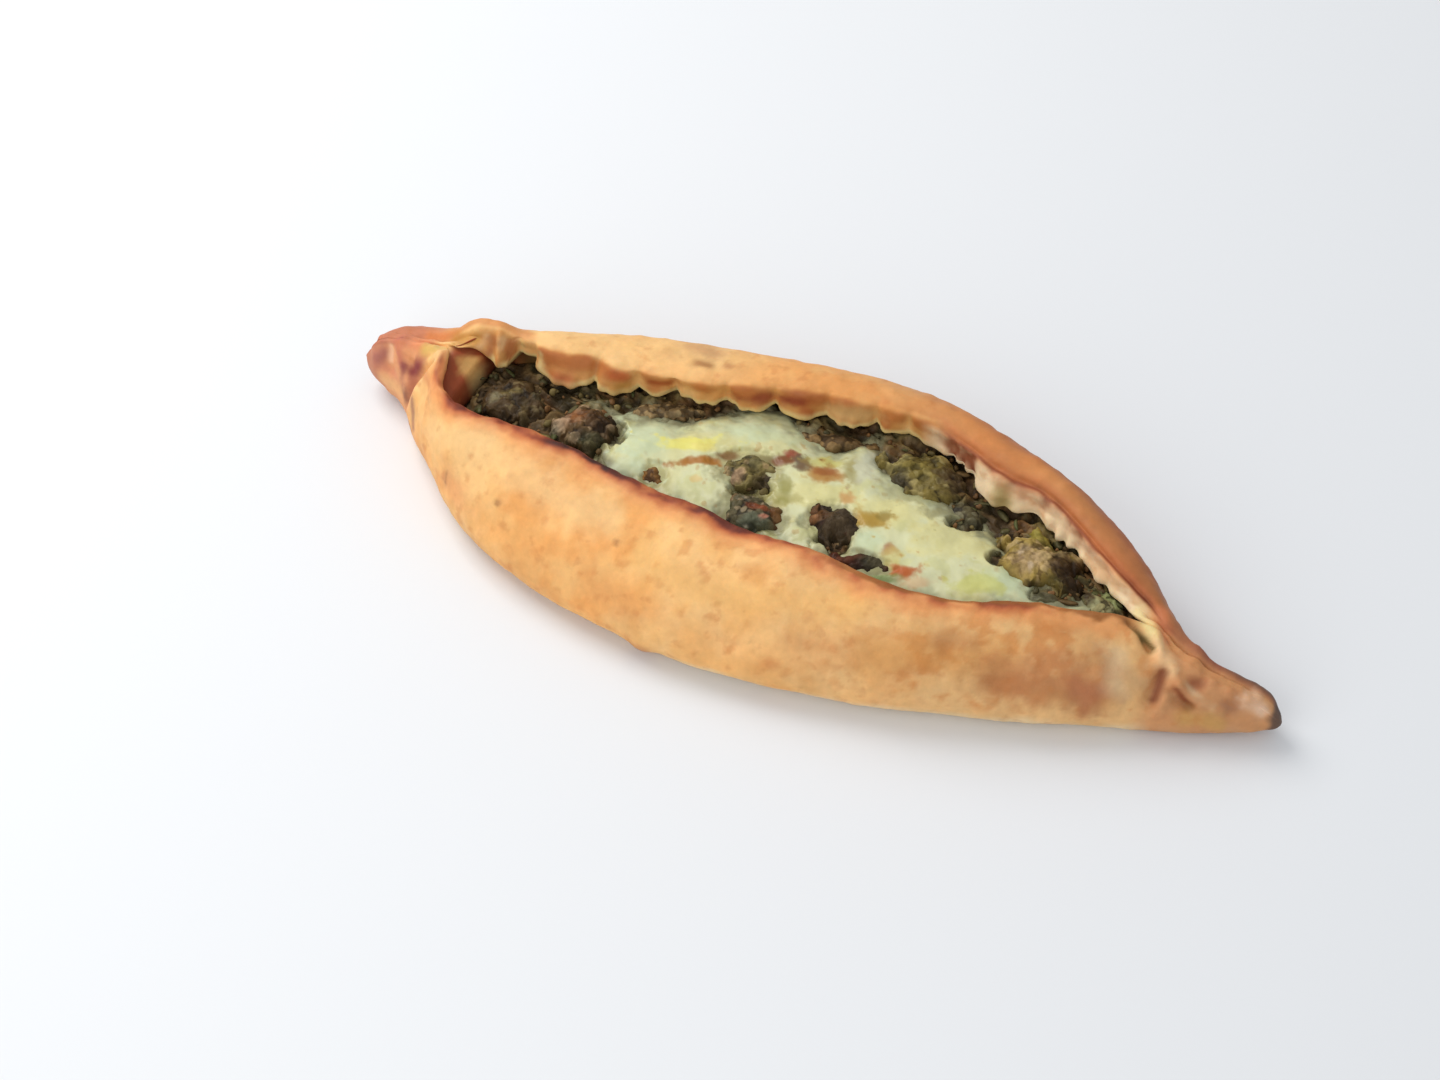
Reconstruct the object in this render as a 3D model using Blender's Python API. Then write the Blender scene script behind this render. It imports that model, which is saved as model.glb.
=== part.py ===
"""A baked pide: a boat of dough, pinched shut at both ends, round greens, browned clumps and cheese.

The boat lies along X. Its near wall (towards -Y) is one tall flap with a thin, turned-in rim. Its far
wall is a thick roll whose scalloped lip hangs over the filling. The tables give millimetres.
"""

import math

import bpy
import numpy as np

MM = 0.001

# Driving dimensions of the boat, in millimetres
LEFT_TIP = -152.0
RIGHT_TIP = 150.0
LEFT_NOSE = 10.0
RIGHT_NOSE = 8.0
BASE_THICKNESS = 6.0
WALL_THICKNESS = 5.5
FOOT_INSET = 11.0
END_LOBE_HEIGHT = 18.0
UNEVENNESS = 0.35
# The middle of the boat's outline, which becomes the origin
MIDDLE = (-1.0, -2.8, 0.0)

# How finely the boat is divided along its length and round its section
STATIONS = 100
SPAN_SAMPLES = (2, 1, 1, 2, 2, 2, 1, 1, 1, 1, 1, 2, 2, 1, 1, 1, 1, 2, 2, 2, 2, 2, 1, 1, 1)

# The filling and what lies on it, in millimetres
GAP = 0.4
BED_CLEARANCE = 1.5
BED_LEFT, BED_RIGHT = -106.8, 103.5
BED_STATIONS, BED_SAMPLES = 48, 14
BED_BUMP = 0.8
CHEESE_LEFT, CHEESE_RIGHT = -66.0, 84.0
CHEESE_STATIONS, CHEESE_SAMPLES = 34, 11
CHEESE_MIDDLE, CHEESE_EDGE = 2.4, 0.7
CLUMP_RINGS, CLUMP_SIDES = 5, 16


def smooth_curve(*keys):
    """A smooth curve through (x, value) keys that never overshoots them."""
    places, values = (np.array(column, float) for column in zip(*keys))
    steps = np.diff(places)
    slopes = np.diff(values) / steps
    tangents = np.zeros_like(values)
    for i in range(1, len(places) - 1):
        before, after = slopes[i - 1], slopes[i]
        if before * after > 0:
            first = 2 * steps[i] + steps[i - 1]
            second = steps[i] + 2 * steps[i - 1]
            tangents[i] = (first + second) / (first / before + second / after)
    tangents[0], tangents[-1] = slopes[0], slopes[-1]

    def value_at(x):
        x = np.clip(x, places[0], places[-1])
        i = np.clip(np.searchsorted(places, x) - 1, 0, len(places) - 2)
        t = (x - places[i]) / steps[i]
        start = values[i] * (1 + 2 * t) + steps[i] * tangents[i] * t
        end = values[i + 1] * (3 - 2 * t) + steps[i] * tangents[i + 1] * (t - 1)
        return start * (1 - t) ** 2 + end * t**2

    return value_at


def ease(x, low, high):
    """0 below low, 1 above high, and a smooth rise between them."""
    t = np.clip((x - low) / (high - low), 0, 1)
    return t * t * (3 - 2 * t)


def mix(a, b, t):
    return a + (b - a) * t


# How far the boat reaches to its near and far sides, along its length
near_reach = smooth_curve(
    (-152, 1), (-143, 3), (-136, 6), (-128, 13.5), (-117, 23), (-99, 38.5), (-80, 47.5), (-59, 53),
    (-38, 56), (-15, 57), (5, 55.5), (25, 51.5), (45, 46), (65, 39), (85, 32), (105, 23.5), (118, 17),
    (131, 11.5), (141, 6.5), (150, 3),
)
far_reach = smooth_curve(
    (-152, 7.5), (-147, 9.5), (-143, 12.5), (-134, 15.5), (-124, 17), (-112, 19), (-100, 22.5),
    (-85, 29.5), (-68, 37), (-45, 43.3), (-20, 48.3), (5, 51.3), (25, 51.5), (45, 48), (62, 41.7),
    (78, 36), (92, 28.8), (105, 18.8), (114, 10.5), (122, 6), (130, 4.8), (150, 5),
)

# The thin rim of the near flap
near_rim_y = smooth_curve(
    (-152, 4), (-130, 4), (-124, 1.5), (-120.4, -3), (-118.5, -8), (-116.2, -12), (-112, -15.2),
    (-106, -17.6), (-98, -18.4), (-89, -17.8), (-70, -17.8), (-52, -20.3), (-30, -22.5), (-9, -23),
    (12, -22), (34, -23.4), (48, -22.2), (59, -19), (70, -13.5), (80, -8.5), (96, -3), (106, 0),
    (115, -1), (125, -2), (150, -1),
)
near_rim_z = smooth_curve(
    (-152, 20), (-140, 23.5), (-130, 27), (-125, 29.5), (-119, 33), (20, 33), (70, 32), (100, 29),
    (115, 23), (130, 18), (150, 13),
)

# The lip of the far roll, where its lobes hang lowest
lip_line = smooth_curve(
    (-152, 5), (-128, 5.5), (-121, 7), (-116, 9.4), (-112.8, 8.4), (-109.5, 7.6), (-105.5, 7.4),
    (-101, 8.8), (-92, 8.8), (-80, 8), (-73, 11), (-67.5, 12.8), (-58, 17), (-48, 19.8), (-41, 21),
    (-32, 23.8), (-22, 27), (-12, 29.4), (2, 32.4), (12, 35), (18, 36), (28, 36), (34, 35), (39.5, 32.2),
    (42.5, 29.6), (44.7, 26.6), (48, 24.5), (53, 23.9), (59, 24.6), (63, 25.6), (66, 24.6), (73, 20.8),
    (78.5, 18.8), (82.7, 17), (86, 13.6), (90, 11.4), (94.5, 9.8), (98, 7.6), (102, 4.6), (110, 2),
    (125, -1), (150, 0),
)
lip_z = smooth_curve(
    (-152, 17), (-140, 21), (-130, 22), (-124, 24), (-117, 27.5), (-107, 24), (20, 24), (60, 23.5), (90, 23),
    (105, 22), (115, 20), (130, 16), (150, 11),
)
# The notches of its scalloped edge and their depths
SCALLOP_NOTCHES = (-102.4, -97.0, -76.8, -63.6, -52.4, -37.0, -23.4, -7.8, 6.8, 17)
NOTCH_DEPTHS = (4.6, 4.6, 4.6, 2.6, 2.3, 2.6, 3.4, 2.8, 2.8, 1.4)
# How round each lobe between two notches is: 0 leaves a gap, 1 runs to a point, 2 and more is round
LOBE_SHAPES = (0, 2.4, 2.2, 2.2, 1.9, 1.5, 1.7, 2.0, 1.8)

# The crease where the far roll turns down into its inner face, and the top of the roll
ridge_y = smooth_curve(
    (-152, 6), (-130, 7.5), (-116, 11.8), (-104, 12.8), (-94, 12.2), (-87, 13), (-80, 15.6), (-75.5, 16),
    (-71, 15.2), (-66, 15.9), (-61, 17), (-55, 18), (-45, 20.4), (-36, 23.8), (-28, 27), (-18, 30.5),
    (-8, 33.4), (3, 35.2), (14, 37), (24, 37.6), (31, 35.8), (39, 33.4), (47, 30.4), (54, 29), (62, 28.4),
    (70, 25.6), (78.7, 20.9), (87, 16), (95, 12), (100, 10), (106, 7.6), (114, 3.5), (122, 2), (130, 1),
    (150, 1),
)
ridge_z = smooth_curve(
    (-152, 17.5), (-144, 21.2), (-138, 22.3), (-131, 23), (-125, 25.3), (-120, 29.5), (-113, 32),
    (-105, 33), (0, 33.6), (50, 33), (85, 31), (105, 27), (118, 22), (130, 18), (150, 13),
)
roll_z = smooth_curve(
    (-152, 17.8), (-144, 21.6), (-138, 22.8), (-131, 23.7), (-125, 26.3), (-120, 31), (-114, 33.3),
    (-105, 33.5), (-60, 34.2), (0, 34.7), (50, 34.6), (85, 32.6), (105, 27.6), (118, 21), (130, 17),
    (150, 12),
)

# How far the underside lifts off the table at the two tips
tip_lift = smooth_curve(
    (-152, 6), (-141, 3.5), (-132, 1.2), (-124, 0), (118, 0), (128, 0.8), (138, 2.2), (150, 4.5),
)

# The level of the filling against the near wall
near_level = smooth_curve((-120, 20), (-85, 24), (-60, 25.2), (80, 25.2), (100, 23.5), (110, 22.5))

# The near and far edges of the melted cheese
cheese_near = smooth_curve(
    (-66, -6), (-58, -14), (-45, -17), (-25, -20), (0, -20.5), (20, -19.5), (45, -19.5), (60, -16),
    (72, -10.5), (80, -7.6), (84, -6.8),
)
cheese_far = smooth_curve(
    (-66, 0), (-58, 4.5), (-50, 9), (-43, 11.5), (-37, 16.5), (-30, 22), (-21, 24.5), (-14, 23), (-6, 20),
    (2, 18.5), (8, 22), (15, 20.5), (24, 16), (32, 16), (40, 12.5), (46, 11.5), (52, 13.5), (57.5, 10.5),
    (62, 4.5), (68, -1.5), (74, -4), (84, -5),
)

# Raised and pressed-in folds: the points each one runs through, its half width and its height.
# The left knob: its crease against the near flap, the flap's end, its hollow and its groove.
KNOB_FOLDS = (
    (((-123.7, -5.5, 28.5), (-128.9, -6.2, 20.3), (-129.9, -7.3, 17.3), (-131, -9.1, 8)), 1.9, -3.0),
    (((-120.5, -9, 30), (-125, -10, 23), (-127, -12, 12)), 3.0, 1.4),
    (((-133, -1, 22.5), (-132, -4, 20)), 2.4, -1.2),
    (((-142.7, 0.6, 20.6), (-141.5, -2, 15)), 2.2, -1.5),
    (((-138, 4, 23), (-136.5, 1.5, 22.5)), 3.2, 1.2),
    (((-148, 2, 15), (-146.5, 0, 12)), 3.0, 0.8),
    (((-127.5, -1.9, 27), (-122.5, 0.2, 30.5), (-119.5, 3, 30.5)), 1.7, -0.8),
)
# The wide pleat at the left end of the roll, and the bump and dip above it
PLEAT_FOLDS = (
    (((-112.8, 7.5, 29.8), (-111.1, 4.6, 26.2)), 1.6, 1.3),
    (((-110.4, 9.5, 32), (-109.2, 6.5, 26)), 1.4, -1.2),
    (((-108.4, 11.7, 33.2), (-107, 9, 27.2), (-106.5, 6.5, 25)), 1.2, 1.6),
    (((-104.6, 11.5, 32), (-104, 8.5, 26.5)), 1.6, -1.2),
    (((-101.6, 12.5, 31), (-101.3, 10, 27)), 1.3, 0.9),
    (((-116, 12, 34), (-112, 13, 35)), 4.5, 1.3),
    (((-103, 16, 34), (-99, 18, 34)), 4.0, -0.9),
)
# The pinches of the right tail
TAIL_FOLDS = (
    (((102, 6, 27), (106, 3.5, 27), (110, 0, 26), (115, -6.4, 22), (119, -6.3, 20.5)), 2.0, 1.4),
    (((104.3, -1.9, 28), (108, -3.6, 26), (111.5, -5.2, 24)), 1.4, -1.8),
    (((116.9, -8.1, 20), (116.4, -11.3, 18), (116, -13.9, 15)), 2.0, -1.9),
    (((121.3, -9.1, 17.5), (119.8, -12.6, 14), (118.1, -15.7, 10)), 1.8, 1.0),
    (((121, -10.5, 16), (123.5, -11.3, 13.6), (126.5, -11.2, 12.4)), 1.8, -1.8),
    (((121.8, -8.4, 18), (125.7, -9, 15.5), (130.6, -8.2, 13.6), (135.1, -7.4, 11.6)), 1.6, 0.9),
    (((126.3, -6.6, 17.6), (127, -5.6, 17.6)), 2.2, -1.2),
    (((134.7, -5.5, 14.8), (138, -4.7, 14)), 2.0, -0.9),
    (((122.6, 2.9, 20.6), (123.5, 2.6, 20.4)), 2.2, 0.9),
)
# A blister low on the near wall
BLISTERS = ((((-25.5, -55.7, 4.6), (-24, -55.7, 4.6)), 3.0, 1.3),)

# The browned clumps: centre, half length, half width, turn in degrees and height
CLUMPS = {
    "left_clump": (-96.0, -3.0, 11.0, 8.5, -25, 5.0),
    "round_clump": (-70.2, -5.0, 10.5, 9.0, 10, 5.6),
    "upper_clump": (-19.3, 1.6, 8.6, 7.5, 27, 4.6),
    "lower_clump": (-9.6, -13.2, 9.4, 6.8, 0, 4.6),
    "button_clump": (12.4, -6.6, 7.8, 7.0, -30, 5.6),
    "flat_flake": (24.6, -15.8, 9.6, 3.3, 11, 3.2),
    "olive_clump": (28.0, 25.2, 14.0, 8.6, 0, 4.8),
    "dark_clump": (45.2, 18.6, 5.2, 3.4, 15, 2.2),
    "large_clump": (72.4, 9.8, 14.2, 9.6, -18, 6.0),
    "far_strip": (-52.0, 14.2, 9.6, 3.4, 28, 2.6),
    "middle_strip": (-1.0, 26.6, 12.5, 3.4, 14, 2.6),
    "right_clump": (92.0, 3.4, 5.0, 3.6, -30, 2.8),
    "small_bit": (-42.4, -12.4, 3.6, 4.0, 20, 2.6),
}


def scallop(x):
    """How far the lip draws back at x: nothing along a lobe, most at the notch between two lobes."""
    back = np.zeros_like(x)
    for i, shape in enumerate(LOBE_SHAPES):
        left, right = SCALLOP_NOTCHES[i], SCALLOP_NOTCHES[i + 1]
        t = (x - left) / (right - left)
        inside = (t >= 0) & (t <= 1)
        depth = np.where(t < 0.5, NOTCH_DEPTHS[i], NOTCH_DEPTHS[i + 1])
        lobe = np.abs(2 * np.clip(t, 0, 1) - 1) ** shape
        back = np.where(inside, depth * lobe, back)
    first = NOTCH_DEPTHS[0] * np.clip(1 - (SCALLOP_NOTCHES[0] - x) / 2.0, 0, 1)
    last = NOTCH_DEPTHS[-1] * np.clip(1 - (x - SCALLOP_NOTCHES[-1]) / 5.0, 0, 1)
    back = np.where(x < SCALLOP_NOTCHES[0], first, back)
    return np.where(x > SCALLOP_NOTCHES[-1], last, back)


def opening(x):
    """1 where the boat is open, 0 where its ends are pinched shut."""
    return ease(x, -122, -112) * (1 - ease(x, 94, 114))


def end_lobe(x):
    """1 where a lobe of dough fills the left end of the hollow, 0 to the right of it."""
    return 1 - ease(x, -113, -107)


def dough_section(x):
    """The 25 points that the dough's section runs through at each x, as (y, z)."""
    near, far = near_reach(x), far_reach(x)
    lobe = end_lobe(x)
    floor = BASE_THICKNESS + END_LOBE_HEIGHT * lobe
    rim_y, rim_z = near_rim_y(x), near_rim_z(x)
    edge_y, edge_z = lip_line(x) + scallop(x), lip_z(x) + 0.4 * scallop(x)
    top_y, top_z = ridge_y(x) + 0.15 * scallop(x), ridge_z(x)
    low = np.minimum(rim_z, roll_z(x)) * 0.3
    near_inset = np.minimum(FOOT_INSET, 0.5 * near)
    far_inset = np.minimum(FOOT_INSET, 0.5 * far)
    shoulder = far - 0.12 * (far - top_y)
    middle = (far - near) / 2
    outside_near = (
        (middle, 0),
        (-near + near_inset, 0),
        (-near + 0.22 * near_inset, 0.28 * low),
        (-near, low),
        (mix(-near, rim_y, 0.24), mix(low, rim_z, 0.52)),
        (mix(-near, rim_y, 0.62), mix(low, rim_z, 0.90)),
        (rim_y - 1.4, rim_z),
    )
    inside = (
        (rim_y + 0.6, rim_z - 1.8),
        (rim_y - 1.6, rim_z - 4.2),
        (mix(-near, rim_y, 0.66), mix(low, rim_z, 0.90) - 5.2),
        (mix(-near, rim_y, 0.24) + 4.4, np.maximum(mix(low, rim_z, 0.52) - 3.4, floor + 1.0)),
        (mix(-near + WALL_THICKNESS + 3, middle, 0.4 * lobe), floor + 2.2),
        (middle, floor + 1.5 * lobe),
        (mix(far - WALL_THICKNESS - 3, middle, 0.4 * lobe), floor + 2.2),
        (far - WALL_THICKNESS, mix(floor, edge_z, 0.62)),
        (mix(edge_y, far, 0.62), edge_z + 2.2),
        (edge_y + 2.0, edge_z - 0.2),
        (edge_y, edge_z + 0.6),
    )
    outside_far = (
        (mix(edge_y, top_y, 0.42), mix(edge_z, top_z, 0.52)),
        (top_y, top_z),
        (mix(top_y, shoulder, 0.5), np.maximum(roll_z(x), top_z)),
        (shoulder, mix(low, roll_z(x), 0.82)),
        (far, mix(low, roll_z(x), 0.25)),
        (far - 0.22 * far_inset, 0.28 * low),
        (far - far_inset, 0),
    )
    points = list(outside_near)
    seam_depth = mix(0.15, 1.0, ease(x, -136, -128) * (1 - ease(x, 112, 119)))
    for k, (y, z) in enumerate(inside):
        t = k / (len(inside) - 1)
        seam_y = (rim_y + edge_y) / 2 + mix(-1.0, 1.0, t)
        seam_z = (rim_z + top_z) / 2 - 0.2 - seam_depth * math.sin(math.pi * t)
        points.append((mix(seam_y, y, opening(x)), mix(seam_z, z, opening(x))))
    points.extend(outside_far)
    return np.stack([np.stack([y + 0 * x, z + 0 * x], -1) for y, z in points], 1)


def closed_spline(points, samples):
    """A closed curve through each row of points, with samples[k] places on its span k."""
    count = points.shape[1]
    curve = []
    for i in range(count):
        a, b, c, d = (points[:, (i + j) % count] for j in (-1, 0, 1, 2))
        ab, bc, cd = (
            np.sqrt(np.maximum(np.linalg.norm(q - p, axis=-1, keepdims=True), 1e-6))
            for p, q in ((a, b), (b, c), (c, d))
        )
        leaving = ((b - a) / ab - (c - a) / (ab + bc) + (c - b) / bc) * bc
        arriving = ((c - b) / bc - (d - b) / (bc + cd) + (d - c) / cd) * bc
        for j in range(samples[i]):
            t = j / samples[i]
            start = (2 * t**3 - 3 * t**2 + 1) * b + (t**3 - 2 * t**2 + t) * leaving
            end = (3 * t**2 - 2 * t**3) * c + (t**3 - t**2) * arriving
            curve.append(start + end)
    return np.stack(curve, 1)


def tip_fullness(x):
    """1 along the body, falling to 0 at the tips along a quarter circle."""
    left = np.clip((x - LEFT_TIP) / LEFT_NOSE, 0, 1)
    right = np.clip((RIGHT_TIP - x) / RIGHT_NOSE, 0, 1)
    return np.sqrt(1 - (1 - left) ** 2) * np.sqrt(1 - (1 - right) ** 2)


def outward(grid):
    """Unit normals of a grid of closed rings, pointing out of the dough."""
    along = np.gradient(grid, axis=0)
    around = np.roll(grid, -1, 1) - np.roll(grid, 1, 1)
    normal = np.cross(along, around)
    return normal / np.maximum(np.linalg.norm(normal, axis=-1, keepdims=True), 1e-9)


def distance_to(points, path):
    """The distance from each point to a path of straight runs."""
    nearest = np.full(points.shape[:-1], np.inf)
    for start, end in zip(path[:-1], path[1:]):
        start, run = np.array(start), np.subtract(end, start)
        t = np.clip((points - start) @ run / (run @ run), 0, 1)
        nearest = np.minimum(nearest, np.linalg.norm(points - start - t[..., None] * run, axis=-1))
    return nearest


def ripples(points, seed, wavelength):
    """Soft seeded unevenness between about -1 and 1."""
    random = np.random.default_rng(seed)
    total = np.zeros(points.shape[:-1])
    for _ in range(6):
        direction = random.normal(size=3)
        direction *= 2 * np.pi / wavelength / np.linalg.norm(direction) * random.uniform(0.7, 1.4)
        total += np.sin(points @ direction + random.uniform(0, 2 * np.pi))
    return total / 3


def dough_surface(stations, samples):
    """The dough as rings of points at the stations, with its folds and unevenness pressed in."""
    rings = closed_spline(dough_section(stations), samples)
    rings[..., 1] = np.maximum(rings[..., 1], 0)
    height = np.maximum(near_rim_z(stations), roll_z(stations))[:, None]
    lift = tip_lift(stations)[:, None]
    rings[..., 1] = lift + rings[..., 1] * (1 - lift / height)
    middle_y = (far_reach(stations) - near_reach(stations)) / 2
    middle_z = np.minimum(near_rim_z(stations), roll_z(stations)) * 0.45
    middle = np.stack([middle_y, middle_z], -1)[:, None]
    rings = middle + (rings - middle) * tip_fullness(stations)[:, None, None]
    along = np.broadcast_to(stations[:, None, None], rings.shape[:2] + (1,))
    grid = np.concatenate([along, rings], -1)

    bounds = np.cumsum((0,) + tuple(samples))
    ring = np.arange(grid.shape[1])
    inner = (ring >= bounds[8]) & (ring < bounds[16])
    outer = 1 - inner * opening(grid[:, :1, 0])
    offset = UNEVENNESS * ripples(grid, 3, 34)
    for path, half_width, height in KNOB_FOLDS + PLEAT_FOLDS + TAIL_FOLDS + BLISTERS:
        offset += height * np.exp(-((distance_to(grid, path) / half_width) ** 2))
    off_the_table = ease(grid[..., 2], 0.5, 4)
    return grid + outward(grid) * (offset * off_the_table * outer)[..., None]


def far_level(x):
    """The level of the filling under the lip of the roll."""
    return lip_z(x) - 1.8 - 3 * (1 - ease(x, -112, -85))


def level(x, y):
    """The smooth height of the filling, without its bumps: level under the lip, rising to the flap."""
    near_y = bed_edges(x)[0]
    t = np.clip((y - near_y) / (lip_line(x) - near_y), 0, 1)
    return mix(near_level(x), far_level(x), t) + 4.8 * t * (1 - t) * ease(x, -110, -70)


def bed_edges(x):
    """The near and far ends of the filling's top, tucked under the flap and the roll."""
    section = dough_section(x)
    near_wall, far_wall = section[:, 9], section[:, 14]
    near_lean, far_lean = section[:, 8] - near_wall, section[:, 15] - far_wall
    near_share = np.clip((near_level(x) + 0.5 - near_wall[:, 1]) / near_lean[:, 1], 0, 1)
    far_share = np.clip((far_level(x) + 0.5 - far_wall[:, 1]) / far_lean[:, 1], 0, 1)
    near_y = near_wall[:, 0] + near_share * near_lean[:, 0]
    far_y = far_wall[:, 0] + far_share * far_lean[:, 0]
    return near_y + BED_CLEARANCE, far_y - BED_CLEARANCE


def clump_radius(name, angle):
    """A clump's uneven outline, as a share of its half sizes."""
    seed = sorted(CLUMPS).index(name)
    phase = np.random.default_rng(seed).uniform(0, 2 * np.pi, 3)
    wave = 0.07 * np.sin(2 * angle + phase[0]) + 0.05 * np.sin(3 * angle + phase[1])
    return 0.93 + wave + 0.03 * np.sin(5 * angle + phase[2])


def clump_outline(name, share, extra=0.0):
    """Points at a share of the way out to a clump's edge, as (x, y)."""
    x, y, half_length, half_width, turn, _ = CLUMPS[name]
    angle = np.linspace(0, 2 * np.pi, CLUMP_SIDES, endpoint=False)
    radius = clump_radius(name, angle)
    along = share * (half_length * radius + extra) * np.cos(angle)
    across = share * (half_width * radius + extra) * np.sin(angle)
    turn = math.radians(turn)
    return (
        x + along * math.cos(turn) - across * math.sin(turn),
        y + along * math.sin(turn) + across * math.cos(turn),
    )


def is_covered(x, y):
    """1 where cheese or a clump lies on the filling, 0 clear of them."""
    inside = ease(x, CHEESE_LEFT - 7, CHEESE_LEFT - 3) * (1 - ease(x, CHEESE_RIGHT + 3, CHEESE_RIGHT + 7))
    covered = inside * ease(y, cheese_near(x) - 7, cheese_near(x) - 3)
    covered *= 1 - ease(y, cheese_far(x) + 3, cheese_far(x) + 7)
    for clump_x, clump_y, half_length, half_width, turn, _ in CLUMPS.values():
        turn = math.radians(turn)
        along = (x - clump_x) * math.cos(turn) + (y - clump_y) * math.sin(turn)
        across = (y - clump_y) * math.cos(turn) - (x - clump_x) * math.sin(turn)
        reach = np.hypot(along / (half_length + 5), across / (half_width + 5))
        covered = np.maximum(covered, 1 - ease(reach, 1.0, 1.4))
    return covered


def bed_surface():
    """The filling: a bed that follows the hollow of the dough, bumpy where nothing lies on it."""
    x = np.linspace(BED_LEFT, BED_RIGHT, BED_STATIONS)
    section = dough_section(x)
    near_y, far_y = bed_edges(x)
    inward = BED_CLEARANCE
    floor = (
        (near_y, level(x, near_y) - 2.5),
        (section[:, 10, 0] + inward, section[:, 10, 1]),
        (section[:, 11, 0] + inward, section[:, 11, 1] + inward),
        (section[:, 12, 0], section[:, 12, 1] + inward),
        (section[:, 13, 0] - inward, section[:, 13, 1] + inward),
        (section[:, 14, 0] - inward, section[:, 14, 1]),
        (far_y, level(x, far_y) - 2.0),
    )
    rows = [np.stack([x, y, np.minimum(z, level(x, y) - 1.0)], -1) for y, z in floor]
    for k in range(BED_SAMPLES + 1):
        y = mix(far_y, near_y, k / BED_SAMPLES)
        flat = np.stack([x, y, 0 * x], -1)
        bump = BED_BUMP * ripples(flat, 11, 13) * (1 - is_covered(x, y))
        edge = ease(k, 0, 1) * (1 - ease(k, BED_SAMPLES - 1, BED_SAMPLES))
        rows.append(np.stack([x, y, level(x, y) + bump * edge], -1))
    return np.stack(rows[::-1], 1)


def cheese_surface():
    """The melted cheese: a sheet that thins out to its uneven edge, lying on the filling."""
    x = np.linspace(CHEESE_LEFT, CHEESE_RIGHT, CHEESE_STATIONS)
    near, far = cheese_near(x), cheese_far(x)
    t = (x - CHEESE_LEFT) / (CHEESE_RIGHT - CHEESE_LEFT)
    end = np.minimum(1, np.sqrt(np.maximum(1 - np.abs(2 * t - 1) ** 8, 0)) + 0.12)
    middle = (near + far) / 2
    near, far = mix(middle, near, end), mix(middle, far, end)
    under, over = [], []
    for k in range(CHEESE_SAMPLES + 1):
        share = k / CHEESE_SAMPLES
        y = mix(near, far, share)
        bottom = level(x, y) + GAP
        full = np.sqrt(np.maximum(1 - np.abs(2 * share - 1) ** 3, 0)) * end
        flat = np.stack([x, y, 0 * x], -1)
        thick = mix(CHEESE_EDGE, CHEESE_MIDDLE, full) * (1 + 0.22 * ripples(flat, 5, 17) * full)
        under.append(np.stack([x, y, bottom], -1))
        over.append(np.stack([x, y, bottom + thick], -1))
    return np.stack(over + under[::-1], 1)


def mesh_object(name, points, faces, material):
    """An object of these points, in millimetres, and faces, shaded smooth."""
    mesh = bpy.data.meshes.new(name)
    mesh.from_pydata(((np.asarray(points) - MIDDLE) * MM).tolist(), [], faces)
    mesh.validate()
    mesh.shade_smooth()
    mesh.materials.append(material)
    shape = bpy.data.objects.new(name, mesh)
    bpy.context.scene.collection.objects.link(shape)
    return shape


def lofted_object(name, grid, material):
    """A closed object from rings of points, with a fan of triangles over each end."""
    stations, around = grid.shape[:2]
    ends = [grid[0].mean(0), grid[-1].mean(0)]
    points = np.concatenate([grid.reshape(-1, 3), ends])
    faces = []
    for i in range(stations - 1):
        for j in range(around):
            after = (j + 1) % around
            ring, following = i * around, (i + 1) * around
            faces.append((ring + j, following + j, following + after, ring + after))
    first, last = stations * around, stations * around + 1
    final = (stations - 1) * around
    for j in range(around):
        after = (j + 1) % around
        faces.append((first, j, after))
        faces.append((last, final + after, final + j))
    return mesh_object(name, points, faces, material)


def clump_object(name, material):
    """A clump: a lumpy dome whose flat underside rests on the filling."""
    x, y, _, _, _, tall = CLUMPS[name]
    seed = 20 + sorted(CLUMPS).index(name)
    rings = []
    for k in range(1, CLUMP_RINGS + 1):
        share = k / CLUMP_RINGS
        ring_x, ring_y = clump_outline(name, share)
        bottom = level(ring_x, ring_y) + GAP
        flat = np.stack([ring_x, ring_y, 0 * ring_x], -1)
        lump = 1 + 0.16 * ripples(flat, seed, 8)
        dome = tall * (1 - share**2.6) ** 0.62 * lump
        rings.append(np.stack([ring_x, ring_y, bottom + dome], -1))
    here_x, here_y = np.array([x]), np.array([y])
    bottom = level(here_x, here_y)[0] + GAP
    points = np.concatenate(rings + [[[x, y, bottom + tall]], [[x, y, bottom]]])
    top, under = CLUMP_RINGS * CLUMP_SIDES, CLUMP_RINGS * CLUMP_SIDES + 1
    outer = (CLUMP_RINGS - 1) * CLUMP_SIDES
    faces = []
    for j in range(CLUMP_SIDES):
        after = (j + 1) % CLUMP_SIDES
        faces.append((top, j, after))
        faces.append((under, outer + after, outer + j))
        for k in range(CLUMP_RINGS - 1):
            ring, following = k * CLUMP_SIDES, (k + 1) * CLUMP_SIDES
            faces.append((ring + j, following + j, following + after, ring + after))
    return mesh_object(name, points, faces, material)


def clump_cutter(name, material):
    """A plug a little wider than a clump, which leaves room for it in the cheese."""
    edge_x, edge_y = clump_outline(name, 1.0, extra=GAP + 0.3)
    height = level(edge_x, edge_y)
    low = np.stack([edge_x, edge_y, height - 2], -1)
    high = np.stack([edge_x, edge_y, height + 9], -1)
    faces = [tuple(reversed(range(CLUMP_SIDES))), tuple(range(CLUMP_SIDES, 2 * CLUMP_SIDES))]
    for j in range(CLUMP_SIDES):
        after = (j + 1) % CLUMP_SIDES
        faces.append((j, after, CLUMP_SIDES + after, CLUMP_SIDES + j))
    cutter = mesh_object(name + "_room", np.concatenate([low, high]), faces, material)
    cutter.hide_render = True
    cutter.display_type = "WIRE"
    return cutter


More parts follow.
